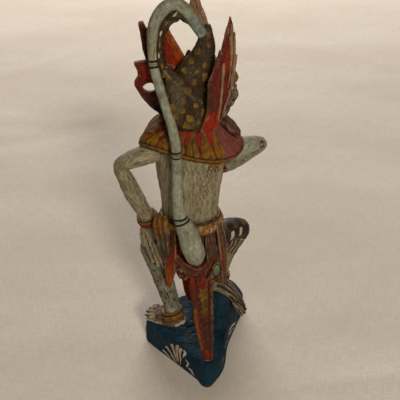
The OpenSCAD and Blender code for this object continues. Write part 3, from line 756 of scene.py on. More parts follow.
def make_right_leg():
    def knee(s, a):
        front = 0.07 * bump(s, 0.6, 0.1) * np.cos(a - 3.1)
        return 1 + front + 0.06 * bump(s, 0.34, 0.16) * np.cos(a - 1.6)
    leg = Loft("right_leg", [
        [-23, -20, 57, 5.4, 5.4], [-25.7, -21.2, 68, 5.7, 5.8], [-29.8, -23.2, 82, 6.2, 6.4],
        [-35, -25, 94, 7, 7.2],
        [-39, -25.7, 104.5, 7.7, 8], [-29.8, -18, 110.5, 9.4, 9.2], [-16.5, -5, 114.5, 10.2, 9.8]],
        first=[-0.3, -0.1, 0.9], last=[0.75, 0.5, 0.1], shape=knee, caps=(0.1, 0.2))
    carve(leg, 0.2, 8, 6)
    knee_at = 47.0
    flat = leg.flat(REAR_TURN, 8.5)
    x, y = flat.T
    x = x + 0.5 * leg.wobble(9, 2)
    y = y + 0.5 * leg.wobble(9, 3)
    long, wide = 5.2, 8.2
    row, column = np.floor((y - knee_at) / long), np.floor(x / wide)
    down, over = (y - knee_at) - row * long, x - column * wide
    inside = np.minimum(np.minimum(over, wide - over), np.minimum(down, long - down))
    cloth = y - knee_at
    kind = (row + column) % 2
    leg.mark("umber", 0.06 * cloth)
    leg.mark("black", np.minimum(np.where(kind == 0, inside - 0.2, 0.4 - inside), cloth))
    leg.mark("cream", np.minimum(only((kind == 1) & (row % 2 == 0), inside - 1.0), cloth - 1))
    stripes = np.abs((x / 3.4) % 1 - 0.5) * 3.4
    leg.mark("umber", np.minimum(0.9 - stripes, np.minimum(-cloth - 1, cloth + 17)))
    leg.mark("black", np.minimum(0.3 - stripes, np.minimum(-cloth - 1, cloth + 15)))
    # The shin below the checked cloth is painted darker: painted shade, as the light is weaker low on the
    # figure.
    leg.values["dirt"] = 0.2 * ease(-cloth, 0, 2) + 0.12 * leg.wobble(6, 28)
    leg.mark("black", 0.45 - np.abs(y - knee_at + 0.6))
    leg.mark("cream", 0.5 - np.abs(y - knee_at + 1.8))
    return fur(leg, scatter((0.6, 3.4), (8, knee_at - 8), 6.5, 6.5, 5), 6.5)


def toes(starts, ends, radius):
    """Arched toes, one from each start to its end."""
    return [Loft("toe", [[*a, radius * 0.86, radius * 0.8], [*((np.add(a, b)) / 2 + [0, 0, 0.7]), radius,
                                                             radius * 0.9],
                         [*b, radius * 0.78, radius * 0.62]], caps=(0.9, 0.9), around=20, step=0.6)
            for a, b in zip(starts, ends)]


def make_foot(name, rows, toe_from, toe_to, radius, seed):
    """A sole fused with its toes, with painted lines between them."""
    body = Loft("sole", rows, side=BACK, around=48, caps=(0.8, 0.7))
    foot = carve(fuse(name, [body] + toes(toe_from, toe_to, radius), 0.55, 5), 0.12, 6, seed)
    lines = []
    for k in range(len(toe_from) - 1):
        a, b = np.add(toe_from[k], toe_from[k + 1]) / 2, np.add(toe_to[k], toe_to[k + 1]) / 2
        lift = np.array([0, 0, 1.4])
        heel = np.array(rows[1][:3]) + [0, 0, rows[1][4] * 0.8]
        lines.append([[*(a * 0.4 + 0.6 * heel + lift), 0.5], [*(a + lift), 0.9], [*(b + lift * 0.4), 1.1]])
    foot.mark("black", from_lines(foot.points, lines))
    return foot


def make_left_foot():
    z = 28
    foot = make_foot("left_foot", [
        [7.5, 6, z + 4.5, 4, 4], [11, 5.5, z + 5.3, 8, 5.2], [18, 3.5, z + 5, 8.4, 4.9],
        [25, 0, z + 3.4, 8.8, 3.3],
        [30, -2.5, z + 2.8, 8.2, 2.6]],
        [[29, 4.2, z + 2.4], [29.5, 0.6, z + 2.4], [29, -3.2, z + 2.4], [28, -6.6, z + 2.3],
         [26.5, -9.6, z + 2.2]],
        [[37.4, 2.4, z + 1.9], [38.8, -2.4, z + 1.8], [37.8, -6.6, z + 1.8], [35.4, -10.2, z + 1.8],
         [32.2, -13.4, z + 1.8]],
        2.1, 3)
    height = foot.points[:, 2] - z
    foot.mark("umber", 0.03 * (height - 3.4) - 0.06 * foot.wobble(7, 4)
              - 0.006 * np.maximum(foot.points[:, 0] - 26, 0))
    foot.mark("cream", 0.6 * near(height, 2.2, 0.8))
    foot.mark("cream", 0.1 * np.minimum(13 - foot.points[:, 0], 7 - height) + 0.05 * foot.wobble(5, 6))
    foot.mark("black", near(height, 0.2, 0.3))
    spots = [[*p, 0] for p in ((20, 9.8, z + 6), (14, 11, z + 5.5), (25, 7.5, z + 5.5))]
    curls = [[[x + 1.4 * math.cos(t), y, h + 1.4 * math.sin(t), 0.55] for t in np.linspace(0, 4, 8)]
             for x, y, h, _ in spots]
    return foot.mark("black", from_lines(foot.points, curls))


def make_right_foot():
    z = 45
    foot = make_foot("right_foot", [
        [-15, -19.5, z + 4, 4.5, 4], [-18, -19, z + 5.4, 7, 5.2], [-25, -17.5, z + 5.2, 7.8, 5.5],
        [-32, -15, z + 1.2, 8.6, 4.4], [-37, -12.8, z - 4.5, 8.6, 3.4]],
        [[-35.5, -5.6, z - 3.6], [-36.4, -9.2, z - 3.4], [-37, -12.8, z - 3.4], [-37, -16.4, z - 3.6],
         [-36.2, -19.4, z - 3.8]],
        [[-42.5, -3.2, z - 16.5], [-44.8, -6.6, z - 17.5], [-45.6, -10.4, z - 17.5], [-45, -14.2, z - 16.5],
         [-43, -17.8, z - 14.5]],
        2.15, 8)
    p = foot.points
    heading, over = unit([-0.72, 0.22, -0.66]), unit([0.29, 0.957, 0])
    aside = (p - [-30, -15, 50]) @ over + 0.05 * ((p - [-30, -15, 50]) @ heading) + 0.5 * wobble(p, 14, 3)
    top = (foot.normals() @ unit([-0.4, 0.3, 0.86]) > 0.25) & ((p - [-18, -18, 52]) @ heading > 2)
    stripe = np.abs((aside / 3.1) % 1 - 0.5) * 3.1
    foot.mark("umber", only(top, 1.0 - stripe))
    foot.mark("black", only(top, 0.42 - stripe))
    # The whole foot is painted darker in uneven patches: painted shade, as the light is weaker low on the
    # figure.
    foot.values["dirt"] = 0.26 + 0.2 * wobble(p, 6, 9)
    rim = [[[-20, -12, z + 6.5, 0.5], [-27, -9.4, z + 5.5, 0.6], [-33, -6.5, z + 0.6, 0.6],
            [-38, -3.4, z - 7, 0.5],
            [-42, -1.4, z - 15, 0.4]]]
    return foot.mark("black", from_lines(p, rim))


def make_hand(name, wrist_rows, finger_from, finger_to, radii, side=LEFT):
    """A palm fused with its fingers and thumb."""
    palm = Loft("palm", wrist_rows, side=side, around=48, caps=(0.2, 0.8))
    fingers = []
    for a, b, r in zip(finger_from, finger_to, radii):
        a, b = np.array(a, float), np.array(b, float)
        middle = (a + b) / 2
        fingers.append(Loft("finger", [[*a, r, r * 0.9], [*middle, r * 1.02, r * 0.92],
                                       [*b, r * 0.72, r * 0.62]],
                            around=20, step=0.6, caps=(0.9, 1.0)))
    return carve(fuse(name, [palm] + fingers, 0.5, 3), 0.1, 5, 9)


def make_left_hand():
    rows = [[32, 0, 138, 5.4, 5], [31.5, 0, 131, 6, 4.6], [31, 0.5, 122, 7.8, 3.8],
            [29.8, 1.4, 113, 8, 3.2]]
    starts = [[34, 1.4, 118], [31, 2.6, 117], [27.6, 4.2, 116.5], [24.2, 5.4, 116]]
    ends = [[29.4, 3.2, 95.6], [25.2, 4.8, 94], [20.8, 6.6, 93.4], [16.6, 7.8, 94.4]]
    thumb_from, thumb_to = [35.6, -1.5, 127], [37.5, -4.5, 112]
    hand = make_hand("left_hand", rows, starts + [thumb_from], ends + [thumb_to],
                     [2.1, 2.2, 2.15, 2.0, 2.2])
    starts, ends = np.array(starts), np.array(ends)
    gaps = []
    for k in range(3):
        a, b = (starts[k] + starts[k + 1]) / 2, (ends[k] + ends[k + 1]) / 2
        out = np.array([0, 2.6, 0])
        back = a + (a - b) * 0.42
        gaps.append([[*(back + out * 1.1), 0.35], [*(a + out), 0.5], [*((a + b) / 2 + out * 0.7), 0.5],
                     [*(b + out * 0.6), 0.5]])
    for a, b in zip(starts, ends):
        ridge = np.array([0, 2.2, 0])
        gaps.append([[*(a + ridge), 0.2], [*((a + b) / 2 + ridge), 0.3],
                     [*(b + ridge * 0.8 + [0, 0, 3]), 0.2]])
    gaps.append([[36.6, 3.6, 128, 0.4], [36.6, 2.2, 118, 0.5], [34.6, 2.4, 104, 0.5], [33, 3, 97, 0.4]])
    gaps.append([[23.2, 5.2, 120, 0.6], [22.2, 5.4, 110, 0.8], [18.4, 5.4, 98, 0.6]])
    hand.mark("black", from_lines(hand.points, gaps))
    tips = [[[*(e + [0, 1.0, -1.2]), 1.4] for e in ends]]
    hand.mark("cream", from_lines(hand.points, tips))
    curl = [[[30 + 1.6 * math.cos(t), 5.0, 126 + 1.6 * math.sin(t), 0.5] for t in np.linspace(1, 5, 9)]]
    return hand.mark("black", from_lines(hand.points, curl))


def make_right_hand():
    rows = [[-21, -19, 174, 5, 5], [-16, -21, 172.6, 5.6, 3.8], [-9, -21.2, 172.2, 7, 3.4],
            [-3, -21, 172.4, 7, 3]]
    starts = [[-3.5, -21, 177.3], [-2, -21, 174], [-2, -21, 170.6], [-3.5, -21, 167.2]]
    ends = [[8, -20.2, 178.6], [11, -20, 174.8], [10.6, -20, 170.6], [7.6, -20.2, 166.8]]
    hand = make_hand("right_hand", rows, starts + [[-12, -20.5, 178]], ends + [[-3.5, -22, 183]],
                     [1.9, 2.0, 1.95, 1.8, 1.9], side=UP)
    starts, ends = np.array(starts), np.array(ends)
    gaps = [[[*((starts[k] + starts[k + 1]) / 2 - [4, 2.4, 0]), 0.4],
             [*((starts[k] + starts[k + 1]) / 2 - [0, 2.2, 0]), 0.7],
             [*((ends[k] + ends[k + 1]) / 2 - [0, 1.2, 0]), 0.7]] for k in range(3)]
    hand.mark("black", from_lines(hand.points, gaps))
    return hand.mark("cream", from_lines(hand.points, [[[*(e + [-2.2, -1.9, 0]), 0.9],
                                                        [*(e + [0.3, -1.7, 0]), 0.8]] for e in ends]))


def make_left_arm():
    def muscle(s, a):
        upper = 0.06 * bump(s, 0.22, 0.12) * np.cos(a)
        return 1 + upper + 0.05 * bump(s, 0.68, 0.12) - 0.05 * bump(s, 0.93, 0.07)
    arm = Loft("left_arm", [
        [20, 2, 198.6, 6.8, 7], [31, 4, 197, 6.8, 7], [41, 6.8, 194.4, 6, 6.4], [48, 8.6, 190.4, 4.6, 4.8],
        [44.6, 7.5, 178, 5.6, 5.8], [40.6, 4.6, 163, 6.1, 6.1], [32, 0, 138, 6, 5.6]],
        side=BACK, first=LEFT, last=[-0.33, -0.13, -0.93], shape=muscle, caps=(0.1, 0.2))
    carve(arm, 0.2, 8, 14)
    arm.grain = arm.grain * [1, 1, 1.2]
    return fur(arm, scatter((-1.2, 2.2), (8, 26), 6.0, 7.5, 8), 7.5, "cream", 1.9, 0.3)


def make_right_arm():
    muscle = lambda s, a: 1 + 0.05 * bump(s, 0.2, 0.12) + 0.05 * bump(s, 0.72, 0.1)
    arm = Loft("right_arm", [
        [-20, 0, 195.4, 7.6, 7.6], [-32, -3, 197.2, 7.3, 7.4], [-42, -7, 198.2, 6, 6.2],
        [-49.6, -11, 196.6, 4.7, 4.9],
        [-48.6, -13.4, 192, 4.8, 5.1], [-41, -16, 185.6, 5.7, 6], [-31, -17.6, 177.4, 6.5, 6.8],
        [-21, -18.4, 172, 6.4, 6.4]],
        side=UP, first=-LEFT, last=[0.8, -0.24, -0.56], shape=muscle, caps=(0.1, 0.2))
    carve(arm, 0.18, 8, 15)
    p = arm.points
    crease = [[[-24, 3.6, 190, 0.8], [-28, 2.8, 190.7, 1.0], [-36, 0.2, 191.1, 1.0],
               [-42, -2.7, 191.3, 0.9],
               [-47, -6, 190.4, 0.5]]]
    arm.mark("black", from_lines(p, crease) - 0.1)
    tip = np.linalg.norm(p - [-50, -6.6, 198.6], axis=1)
    arm.mark("umber", near(tip, 2.2, 0.55) + 0.2 * wobble(p, 2, 3))
    arm.mark("black", near(tip, 2.4, 0.2) + 0.2 * wobble(p, 2, 3))
    arm.mark("mint", 1 + 1.6 * wobble(p, 10, 8))
    # The forearm is painted darker, most on its upper faces: painted shade in the fold under the upper arm.
    upward = ease(arm.normals()[:, 2], 0.0, 0.6)
    arm.values["dirt"] = 0.22 * ease(arm.along, 36, 44) + 0.6 * ease(arm.along, 38, 44) * upward
    return arm


def make_cuff(name, at, way, radius, colours):
    """A beaded bracelet or anklet, with two painted border colours."""
    at, way = np.array(at, float), unit(way)
    cuff_piece = cuff(name, at, way, [
        [-4.2, radius + 0.9], [-3.6, radius + 1.7], [-2.6, radius + 1.5], [-2.2, radius + 1.1],
        [-1.8, radius + 2.1],
        [0, radius + 2.5], [1.8, radius + 2.1], [2.2, radius + 1.1], [2.6, radius + 1.5],
        [3.6, radius + 1.5], [4.2, radius + 0.8]])
    beads = np.cos(cuff_piece.turn * 18) * bump(cuff_piece.along, 0, 1.5)
    cuff_piece.push(0.16 * beads + 0.1 * cuff_piece.wobble(5, 3))
    first, second = colours
    cuff_piece.mark(first, (0.3 if first == "umber" else 1.1) - np.abs(np.abs(cuff_piece.along) - 3.4))
    cuff_piece.mark(second, 0.5 - np.abs(np.abs(cuff_piece.along) - 2.15))
    dots = 0.75 - np.hypot(((cuff_piece.turn * 9 / math.pi) % 2 - 1) * radius * math.pi / 9,
                           cuff_piece.along)
    cuff_piece.mark("maroon", dots)
    return cuff_piece


# ---------------------------------------------------------------- trunk and cloths

TRUNK = [[-1, 2, 122, 15, 11], [-1, 2, 132, 19, 14], [-0.5, 2, 140, 20, 14.5], [0, 2, 150, 20.5, 14.5],
         [0, 1, 165, 21.7, 15], [0, 1, 180, 23.5, 15.5], [0, 1, 192, 24, 15], [0, 1, 201, 23, 13.5],
         [-1, 0.5, 208, 16, 12.5], [-4, -1, 216, 12, 11.5]]


def make_trunk():
    def body(s, a):
        spine = -0.05 * bump(a, REAR_TURN, 0.13) * (1 - ease(s, 0.8, 0.95))
        blades = 0.035 * (bump(a, REAR_TURN - 0.6, 0.3) + bump(a, REAR_TURN + 0.6,
                                                               0.3)) * bump(s, 0.68, 0.16)
        chest = 0.05 * (bump(a, FRONT_TURN - 0.5, 0.35) + bump(a, FRONT_TURN + 0.5,
                                                               0.35)) * bump(s, 0.68, 0.12)
        belly = 0.05 * bump(a, FRONT_TURN, 0.6) * bump(s, 0.36, 0.15)
        return 1 + spine + blades + chest + belly
    trunk = Loft("trunk", TRUNK, around=150, shape=body, caps=(0.05, 0.05))
    carve(trunk, 0.16, 9, 21)
    radius = 19.0
    flat = trunk.flat(REAR_TURN, radius)
    curls = hooks((
        (2, 27, 1.5, 1.2), (4.8, 24, 1.2, 3.6), (0, 23, 1.1, 5.2), (-12, 60, 1.3, 1.5),
        (-14.5, 55, 1.2, 3.5),
        (-11, 51, 1.3, 5.0), (16.5, 30, 1.3, 2.0), (18.5, 26, 1.2, 4.0)), 300, 0.3)
    local = np.random.default_rng(22)
    for row in range(9):
        for column in range(5):
            x, y = local.uniform(-0.6, 0.6, 2) + [4.6 + 2.7 * column + 1.3 * (row % 2), 48 + 2.7 * row]
            curls.append(hook(x, y, local.uniform(0.8, 1.15), local.uniform(0, 6), 300, 0.24))
    trunk.mark("umber", 0.5 * from_lines(flat, curls) + 0.12)
    trunk.mark("cream", 0.35 * from_lines(flat, curls))
    chest = hooks((
        (-9, 62, 2.0, 1), (9, 62, 2.0, 3), (-5, 52, 1.6, 2), (5, 52, 1.6, 5), (0, 58, 1.6, 4),
        (0, 44, 1.5, 1),
        (-7, 36, 1.5, 2), (7, 36, 1.5, 4), (0, 28, 1.4, 3), (-13, 45, 1.4, 5), (13, 45, 1.4, 0)), 260, 0.35)
    front = trunk.flat(FRONT_TURN, radius)
    trunk.mark("black", from_lines(front, chest))
    worn = np.linalg.norm((trunk.points - [-17.5, 12, 194]) * [0.8, 0.5, 0.6], axis=1)
    trunk.mark("umber", 3.6 - worn + 1.6 * trunk.wobble(3.5, 8))
    trunk.mark("gold", 2.0 - worn + 1.8 * trunk.wobble(3, 18))
    # Painted shade on the trunk under the collar's rim, and a dark line just above the belt.
    under_collar = ease(trunk.points[:, 2], 199, 204) * (trunk.points[:, 2] < 208)
    trunk.values["dirt"] = np.maximum(0.6 * under_collar, 0.5 * bump(trunk.points[:, 2], 146, 1.4))
    return trunk


def make_hip_cloth():
    def folds(s, a):
        fine = np.cos(30 * a + 2.2 * np.sin(3 * a) + 3 * s)
        return 1 + (0.028 * fine + 0.02 * np.cos(11 * a + 1)) * ease(1 - s, 0.02, 0.5) * ease(s, 0.0, 0.3)
    cloth = Loft("hip_cloth", [[-1, -1, 99, 12, 9], [-1, 0, 104, 20, 13.5], [-1, 1, 114, 24.6, 16.4],
                               [-1, 1.5, 122, 24.6, 17.2], [-1, 2, 130, 22.8, 17],
                               [-0.8, 2, 137, 21.4, 16]],
                 around=220, shape=folds, caps=(0.25, 0.02))
    carve(cloth, 0.18, 8, 31)
    p = cloth.points
    flat = cloth.flat(REAR_TURN, 20)
    streak = np.cos(30 * cloth.turn + 2.2 * np.sin(3 * cloth.turn) + 3 * cloth.along / cloth.length)
    right = ease(-p[:, 0], 3, 12) * ease(p[:, 1], -4, 4)
    cloth.mark("umber", 3.4 * right - 1.2 + 1.2 * wobble(p, 8, 6))
    cloth.mark("gold", (streak - 0.9) * 4 - 1.5 * (np.cos(7 * cloth.turn) < -0.2) - 2 * right)
    cloth.mark("maroon", (-streak - 0.2) * 3 - 2 * (wobble(p, 12, 3) < 0))
    sweeps = [[[x, 34, 0.5], [x + 2.5, 24, 0.7], [x + 1.5, 14, 0.6],
               [x - 1.5, 7, 0.3]] for x in (5, 8.5, 12, 18, 23)]
    cloth.mark("maroon", from_lines(flat, sweeps))
    cloth.mark("black", (-streak - 0.93) * 3 * (right > 0.3) - 0.05)
    # Darker in the troughs of the folds.
    cloth.values["dirt"] = 0.45 * ease(-streak, 0.6, 1.0)
    return cloth


def make_belt():
    piece = band("belt", [[-0.8, 2, 134.8, 22.4, 16.9], [-0.8, 2, 135.6, 23.4, 17.9],
                          [-0.5, 2, 139.4, 24, 18.4],
                          [0, 2, 144.2, 22.8, 17.2], [0, 2, 145.2, 22, 16.4]],
                 [[-0.8, 2, 135, 19.7, 14.4], [0, 2, 145, 20.4, 14.6]], around=200)
    z = piece.points[:, 2]
    carve(piece, 0.16, 6, 41)
    piece.push(-0.35 * bump(z, 143.4, 0.45) - 0.3 * bump(z, 138.2, 0.4))
    arc = piece.turn * 20
    back = np.abs(turn_from(REAR_TURN, piece.turn))
    piece.mark("orange", 0.04 * near(z, 137.0, 0.8) - 0.06 * piece.wobble(8, 5))
    # A pale cream wash along the belt's bulging middle: a painted highlight.
    piece.mark("cream", 0.02 * near(z, 140.4, 0.6) - 0.05 * piece.wobble(5, 15) - 0.047)
    piece.mark("black", near(z, 145.0, 0.75))
    piece.mark("black", near(z, 143.4, 0.22))
    dots = 0.42 - np.hypot((arc % 3.2) - 1.6, z - 141.2)
    piece.mark("black", only(np.sin(piece.turn * 5 + 1) > 0.2, dots))
    piece.mark("maroon", only(back > 1.9, 0.9 - np.abs(((arc % 6) - 3)) - 0.4 * np.abs(z - 141)))
    return piece


def make_sash_bow():
    def ribs(s, a):
        return 1 + 0.09 * np.cos(7 * a) * np.sin(math.pi * np.clip(s, 0.02, 0.98)) ** 0.5
    bow = Loft("sash_bow", [[10.5, 17.5, 113.5, 2.6, 3], [6, 20.2, 109, 3.6, 4.4],
                            [-1.5, 22.6, 104.6, 4.3, 5.4],
                            [-9, 22, 104.2, 4.2, 5.2], [-14.5, 19, 108.5, 3.2, 3.8],
                            [-17, 17, 113, 2.2, 3]],
               side=BACK, around=96, step=0.5, shape=ribs, caps=(0.6, 0.6))
    carve(bow, 0.15, 6, 51)
    bow.mark("maroon", 0.04 + 0.1 * bow.wobble(8, 2))
    bow.mark("umber", 0.08 * bow.wobble(5, 12))
    bow.mark("gold", 0.16 * (np.cos(7 * bow.turn) - 0.86) - 0.02 * bow.wobble(6, 3))
    # Darker in the grooves between the ribs.
    bow.values["dirt"] = 0.2 + 0.6 * ease(-np.cos(7 * bow.turn), 0.2, 1.0)
    return bow


def make_bow_loops():
    """The two small loops of ribbon beside the bow's middle, the green lining of one, and the knot."""
    loops = []
    for name, rows in (
            ("bow_loop_right", [[-12, 24.4, 97, 1.8, 0.9], [-15.4, 23.6, 104, 2.6, 1],
                                [-17.6, 22.6, 110.6, 2.8, 1],
                                [-20.4, 21.2, 112.4, 2.8, 1], [-22.8, 19.6, 108, 2.6, 1],
                                [-23, 19.6, 101.5, 2.4, 1],
                                [-20.6, 21.4, 97, 2.2, 0.9], [-15.6, 23.8, 95.6, 1.8, 0.9]]),
            ("bow_loop_left", [[2.5, 24, 104, 2.4, 1.1], [7, 22.4, 107, 3, 1.2], [9.6, 20.5, 103.5, 3, 1.2],
                               [7.5, 21.5, 98.5, 2.6, 1.1], [2.5, 24.2, 98, 2.2, 1.1]])):
        loop = strap(name, rows, side=BACK if rows[0][0] < 0 else -BACK, across=17, step=0.5)
        carve(loop, 0.12, 5, 52)
        loop.mark("umber", 0.06 + 0.1 * loop.wobble(6, 3))
        loop.mark("gold", 0.1 * (0.5 - np.abs(loop.across) * loop.width) - 0.05 * loop.wobble(5, 4))
        # Darker towards the edges of each loop.
        loop.values["dirt"] = 0.25 + 0.3 * ease(np.abs(loop.across), 0.5, 1)
        loops.append(loop)
    lining = blob((-19.8, 20.4, 104.2), (3.4, 1.5, 7.2), (unit([1, 0.35, 0]), unit([-0.35, 1, 0]), UP), 48)
    lining.name = "bow_loop_lining"
    lining.mark("green", 2 + lining.wobble(4, 2))
    lining.grain = lining.points.copy()
    knot = Loft("bow_knot", [[-7, 23.4, 107, 3, 2.2], [-7.4, 25.6, 103, 4.4, 2.8], [-8, 26, 98, 4.2, 2.6],
                             [-9, 25.4, 93, 3.2, 2], [-9.6, 26, 89, 1.6, 1.4]], around=64, step=0.5,
                caps=(0.8, 0.6),
                shape=lambda s, a: 1 + 0.06 * np.cos(7 * a))
    knot.mark("maroon", 0.05 + 0.1 * knot.wobble(7, 2))
    knot.mark("scarlet", 0.03 * (knot.along - 9) - 0.08 * knot.wobble(6, 5))
    # Darker in the grooves of the knot.
    knot.values["dirt"] = 0.15 + 0.5 * ease(-np.cos(7 * knot.turn), 0.2, 1)
    return loops + [lining, carve(knot, 0.12, 5, 53)]


def hatch(flat, spacing, slope, width):
    """Slanting painted lines across a board."""
    phase = (flat[:, 1] + flat[:, 0] * slope) / spacing
    return width - np.abs((phase % 1) - 0.5) * spacing


def make_rear_sash():
    def relief(s, t):
        border = 0.5 * ease(np.abs(t), 0.55, 0.62) * (1 - ease(np.abs(t), 0.9, 1.0))
        ribs = 0.12 * np.cos(math.tau * (s * 16 + t * 1.2)) * (1 - ease(np.abs(t), 0.45, 0.55))
        return (border + ribs + 0 * s) * (1 - ease(s, 0.93, 1.0))
    sash = strap("rear_sash", [[-8.5, 21, 99, 9.5, 2], [-8.5, 24, 88, 9.2, 2.2], [-9.5, 28, 72, 8, 2.4],
                               [-10.5, 32.5, 56, 7.3, 2.4], [-12, 36.5, 41, 5.7, 2.3],
                               [-13.4, 39.5, 28, 4, 2],
                               [-13.8, 40.5, 24, 3.4, 1.8]], relief=relief, across=41, step=0.6)
    carve(sash, 0.16, 8, 61)
    x, y = sash.face.T
    patch = sash.wobble(9, 2)
    centre = 0.5 * sash.width - np.abs(x)
    sash.mark("maroon", 1.2 - x - 1.4 * patch)
    sash.mark("orange", np.minimum(x - 0.5 * sash.width, np.minimum(y - 30, 3)) + 0.2 - 0.9 * patch)
    sash.mark("gold", np.minimum(np.minimum(0.3 * (centre + 0.2), 0.12 * (1.6 - x)),
                                 0.03 * near(y, 20, 15)) - 0.08 * patch)
    sash.mark("maroon", only(centre > -0.3, 0.12 * sash.wobble(14, 22) + 0.02))
    sash.mark("scarlet", np.minimum(7 - y, 5))
    sash.mark("scarlet", np.minimum(np.minimum(centre + 1.5, 3), (y - sash.length + 11) * 0.5)
              - 1.2 * patch)
    bands = hatch(sash.face, 5.2, -0.75, 0.75)
    between = np.minimum(hatch(sash.face + [0, 2.4], 5.2, -0.75, 0.35), centre - 0.2)
    sash.mark("gold", 0.25 * between - 0.2 * sash.wobble(6, 8) - 0.004 * y)
    sash.mark("black", np.minimum(bands - 0.45, centre - 0.1) - 0.35 * sash.wobble(7, 5))
    sash.mark("black", 0.3 - np.abs(np.abs(x) - 0.5 * sash.width - 0.2) - 0.15 * patch)
    sash.mark("gold", only(y > 26, 0.34 - np.abs(x - sash.width * 0.56)))
    sash.mark("gold", 0.15 * (0.5 - np.abs(-x - sash.width * 0.9)) - 0.2 * sash.wobble(6, 7))
    sash.values["rim"] = 0.15 * ease(-sash.across, 0.94, 1.0) + 0.25 * ease(sash.across, 0.96, 1.0)
    sash.values["dirt"] = 0.32 + 0.35 * ease(sash.wobble(12, 14), 0.1, 0.8)
    return sash


def pointed(name, rows, side, seed, colour="gold"):
    """A hanging lappet with a raised midrib and painted borders."""
    relief = lambda s, t: 0.35 * bump(t, 0, 0.16) + 0.25 * bump(np.abs(t), 0.82, 0.12) + 0 * s
    piece = strap(name, rows, side=side, relief=relief, across=25, step=0.6)
    carve(piece, 0.14, 7, seed)
    x = piece.face[:, 0]
    piece.mark(colour, 0.3 * (0.35 - np.abs(np.abs(x) - piece.width * 0.8)))
    piece.mark("black", 0.3 * (0.1 - np.abs(np.abs(x) - piece.width * 0.58)))
    piece.values["rim"] = 0.3 * ease(np.abs(piece.across), 0.90, 1.0)
    return piece


def make_front_apron():
    apron = pointed("front_apron", [[0, -17.8, 116, 9, 1.8], [0, -17.6, 100, 8.8, 2], [0, -15.5, 82, 8, 2],
                                    [0.5, -11.5, 62, 7, 2], [0.5, -8.5, 48, 4.5, 1.8],
                                    [0.5, -7.5, 42, 2, 1.4]],
                    -LEFT, 62)
    x, y = apron.face.T
    for k in range(5):
        at = 12 + 12 * k
        diamond = 2.2 - (np.abs(x) + 0.8 * np.abs(y - at))
        apron.mark("gold", diamond)
        apron.mark("maroon", diamond - 1.0)
    apron.mark("scarlet", np.minimum(3, y - 40) - apron.wobble(8, 3))
    return apron


def make_lappets():
    left = pointed("left_lappet", [[12.2, 15.2, 142, 2.2, 0.8], [12.5, 17, 136, 2.6, 1.5],
                                   [13, 17.6, 128, 3.4, 1.8], [14.3, 17.2, 112, 4.6, 1.8],
                                   [15.4, 16, 98, 4.2, 1.7], [16.2, 14.4, 87, 2.6, 1.5],
                                   [16.4, 13, 78, 0.9, 1.2]],
                   [1, -0.45, 0], 63)
    left.mark("maroon", 0.012 * (24 - left.along) - 0.05 * left.wobble(9, 2))
    left.mark("orange", 0.01 * (left.along - 38) - 0.05 * left.wobble(9, 3))
    # Darker towards its top, where it hangs from under the belt.
    left.values["dirt"] = 0.35 * ease(24 - left.along, 0, 14)
    outer = pointed("right_lappet_outer", [[-20.6, 11.2, 143, 2.2, 0.8], [-21.4, 12.8, 138, 2.6, 1.4],
                                           [-22.8, 13.2, 130, 3.4, 1.8],
                                           [-24.4, 13.6, 114, 3.5, 1.8], [-25.2, 13.6, 98, 2.5, 1.6],
                                           [-25.8, 13.4, 81, 0.8, 1.1]], [1, 0.6, 0], 64, "tan")
    outer.mark("umber", 0.1 * (1.6 - np.abs(outer.face[:, 0] + outer.width * 0.4))
               - 0.06 * outer.wobble(7, 3))
    outer.mark("umber", 0.012 * (26 - outer.along) + 0.06 * outer.wobble(9, 6))
    outer.mark("tan", 0.3 * (0.3 - np.abs(np.abs(outer.face[:, 0]) - outer.width * 0.85)))
    inner = pointed("right_lappet_inner", [[-14.2, 14.8, 137, 3.2, 0.9], [-14.5, 17.3, 132.5, 3.9, 1.4],
                                           [-15, 18, 126, 4.4, 1.6],
                                           [-16.8, 18.2, 112, 4.6, 1.8], [-19.4, 16.6, 98, 3.2, 1.6],
                                           [-21, 14.8, 87, 0.9, 1.2]], [1, 0.35, 0], 65, "black")
    inner.mark("umber", 0.10 + 0.12 * inner.wobble(9, 4))
    inner.mark("black", 0.25 * hatch(inner.face[:, ::-1], 2.6, 0.12, 0.1) - 0.06 * inner.wobble(8, 5))
    inner.values["dirt"] = 0.2 + 0.2 * inner.wobble(6, 9)
    return [left, outer, inner]


def make_left_hip_drape():
    relief = lambda s, t: 0.55 * np.cos(9 * t + 2.0 * s) + 0.25 * np.cos(17 * t + 4 * s)
    drape = strap("left_hip_drape", [[21.2, 11.5, 149, 4.4, 0.8], [21.5, 14.2, 145.5, 6.4, 1.8],
                                     [21, 15.6, 140, 7, 2.4], [20, 16.4, 133, 6.4, 2.4],
                                     [19, 16.4, 123, 4.8, 2.3], [18.2, 15.8, 115.5, 3.6, 2],
                                     [17.6, 15.2, 109.5, 1.4, 1.4]],
                  side=[1, -0.55, 0], relief=relief, across=41, step=0.6)
    carve(drape, 0.2, 8, 66)
    wave = np.cos(9 * drape.across + 2.0 * drape.along / drape.length)
    low = drape.along - 15
    drape.mark("umber", 0.012 * low - 0.08 * drape.wobble(7, 2))
    drape.mark("green", np.minimum(0.06 * wave - 0.04, 0.01 * (low - 6)) - 0.08 * drape.wobble(9, 3))
    drape.mark("maroon", 0.1 * (-wave - 0.9))
    # Darker towards its lower end, and more in the troughs of its folds than on their crests.
    drape.values["dirt"] = 0.62 * ease(low, -6, 14) * (1 - 0.5 * ease(wave, 0.2, 0.9)) + 0.1
    return drape


# ---------------------------------------------------------------- collar

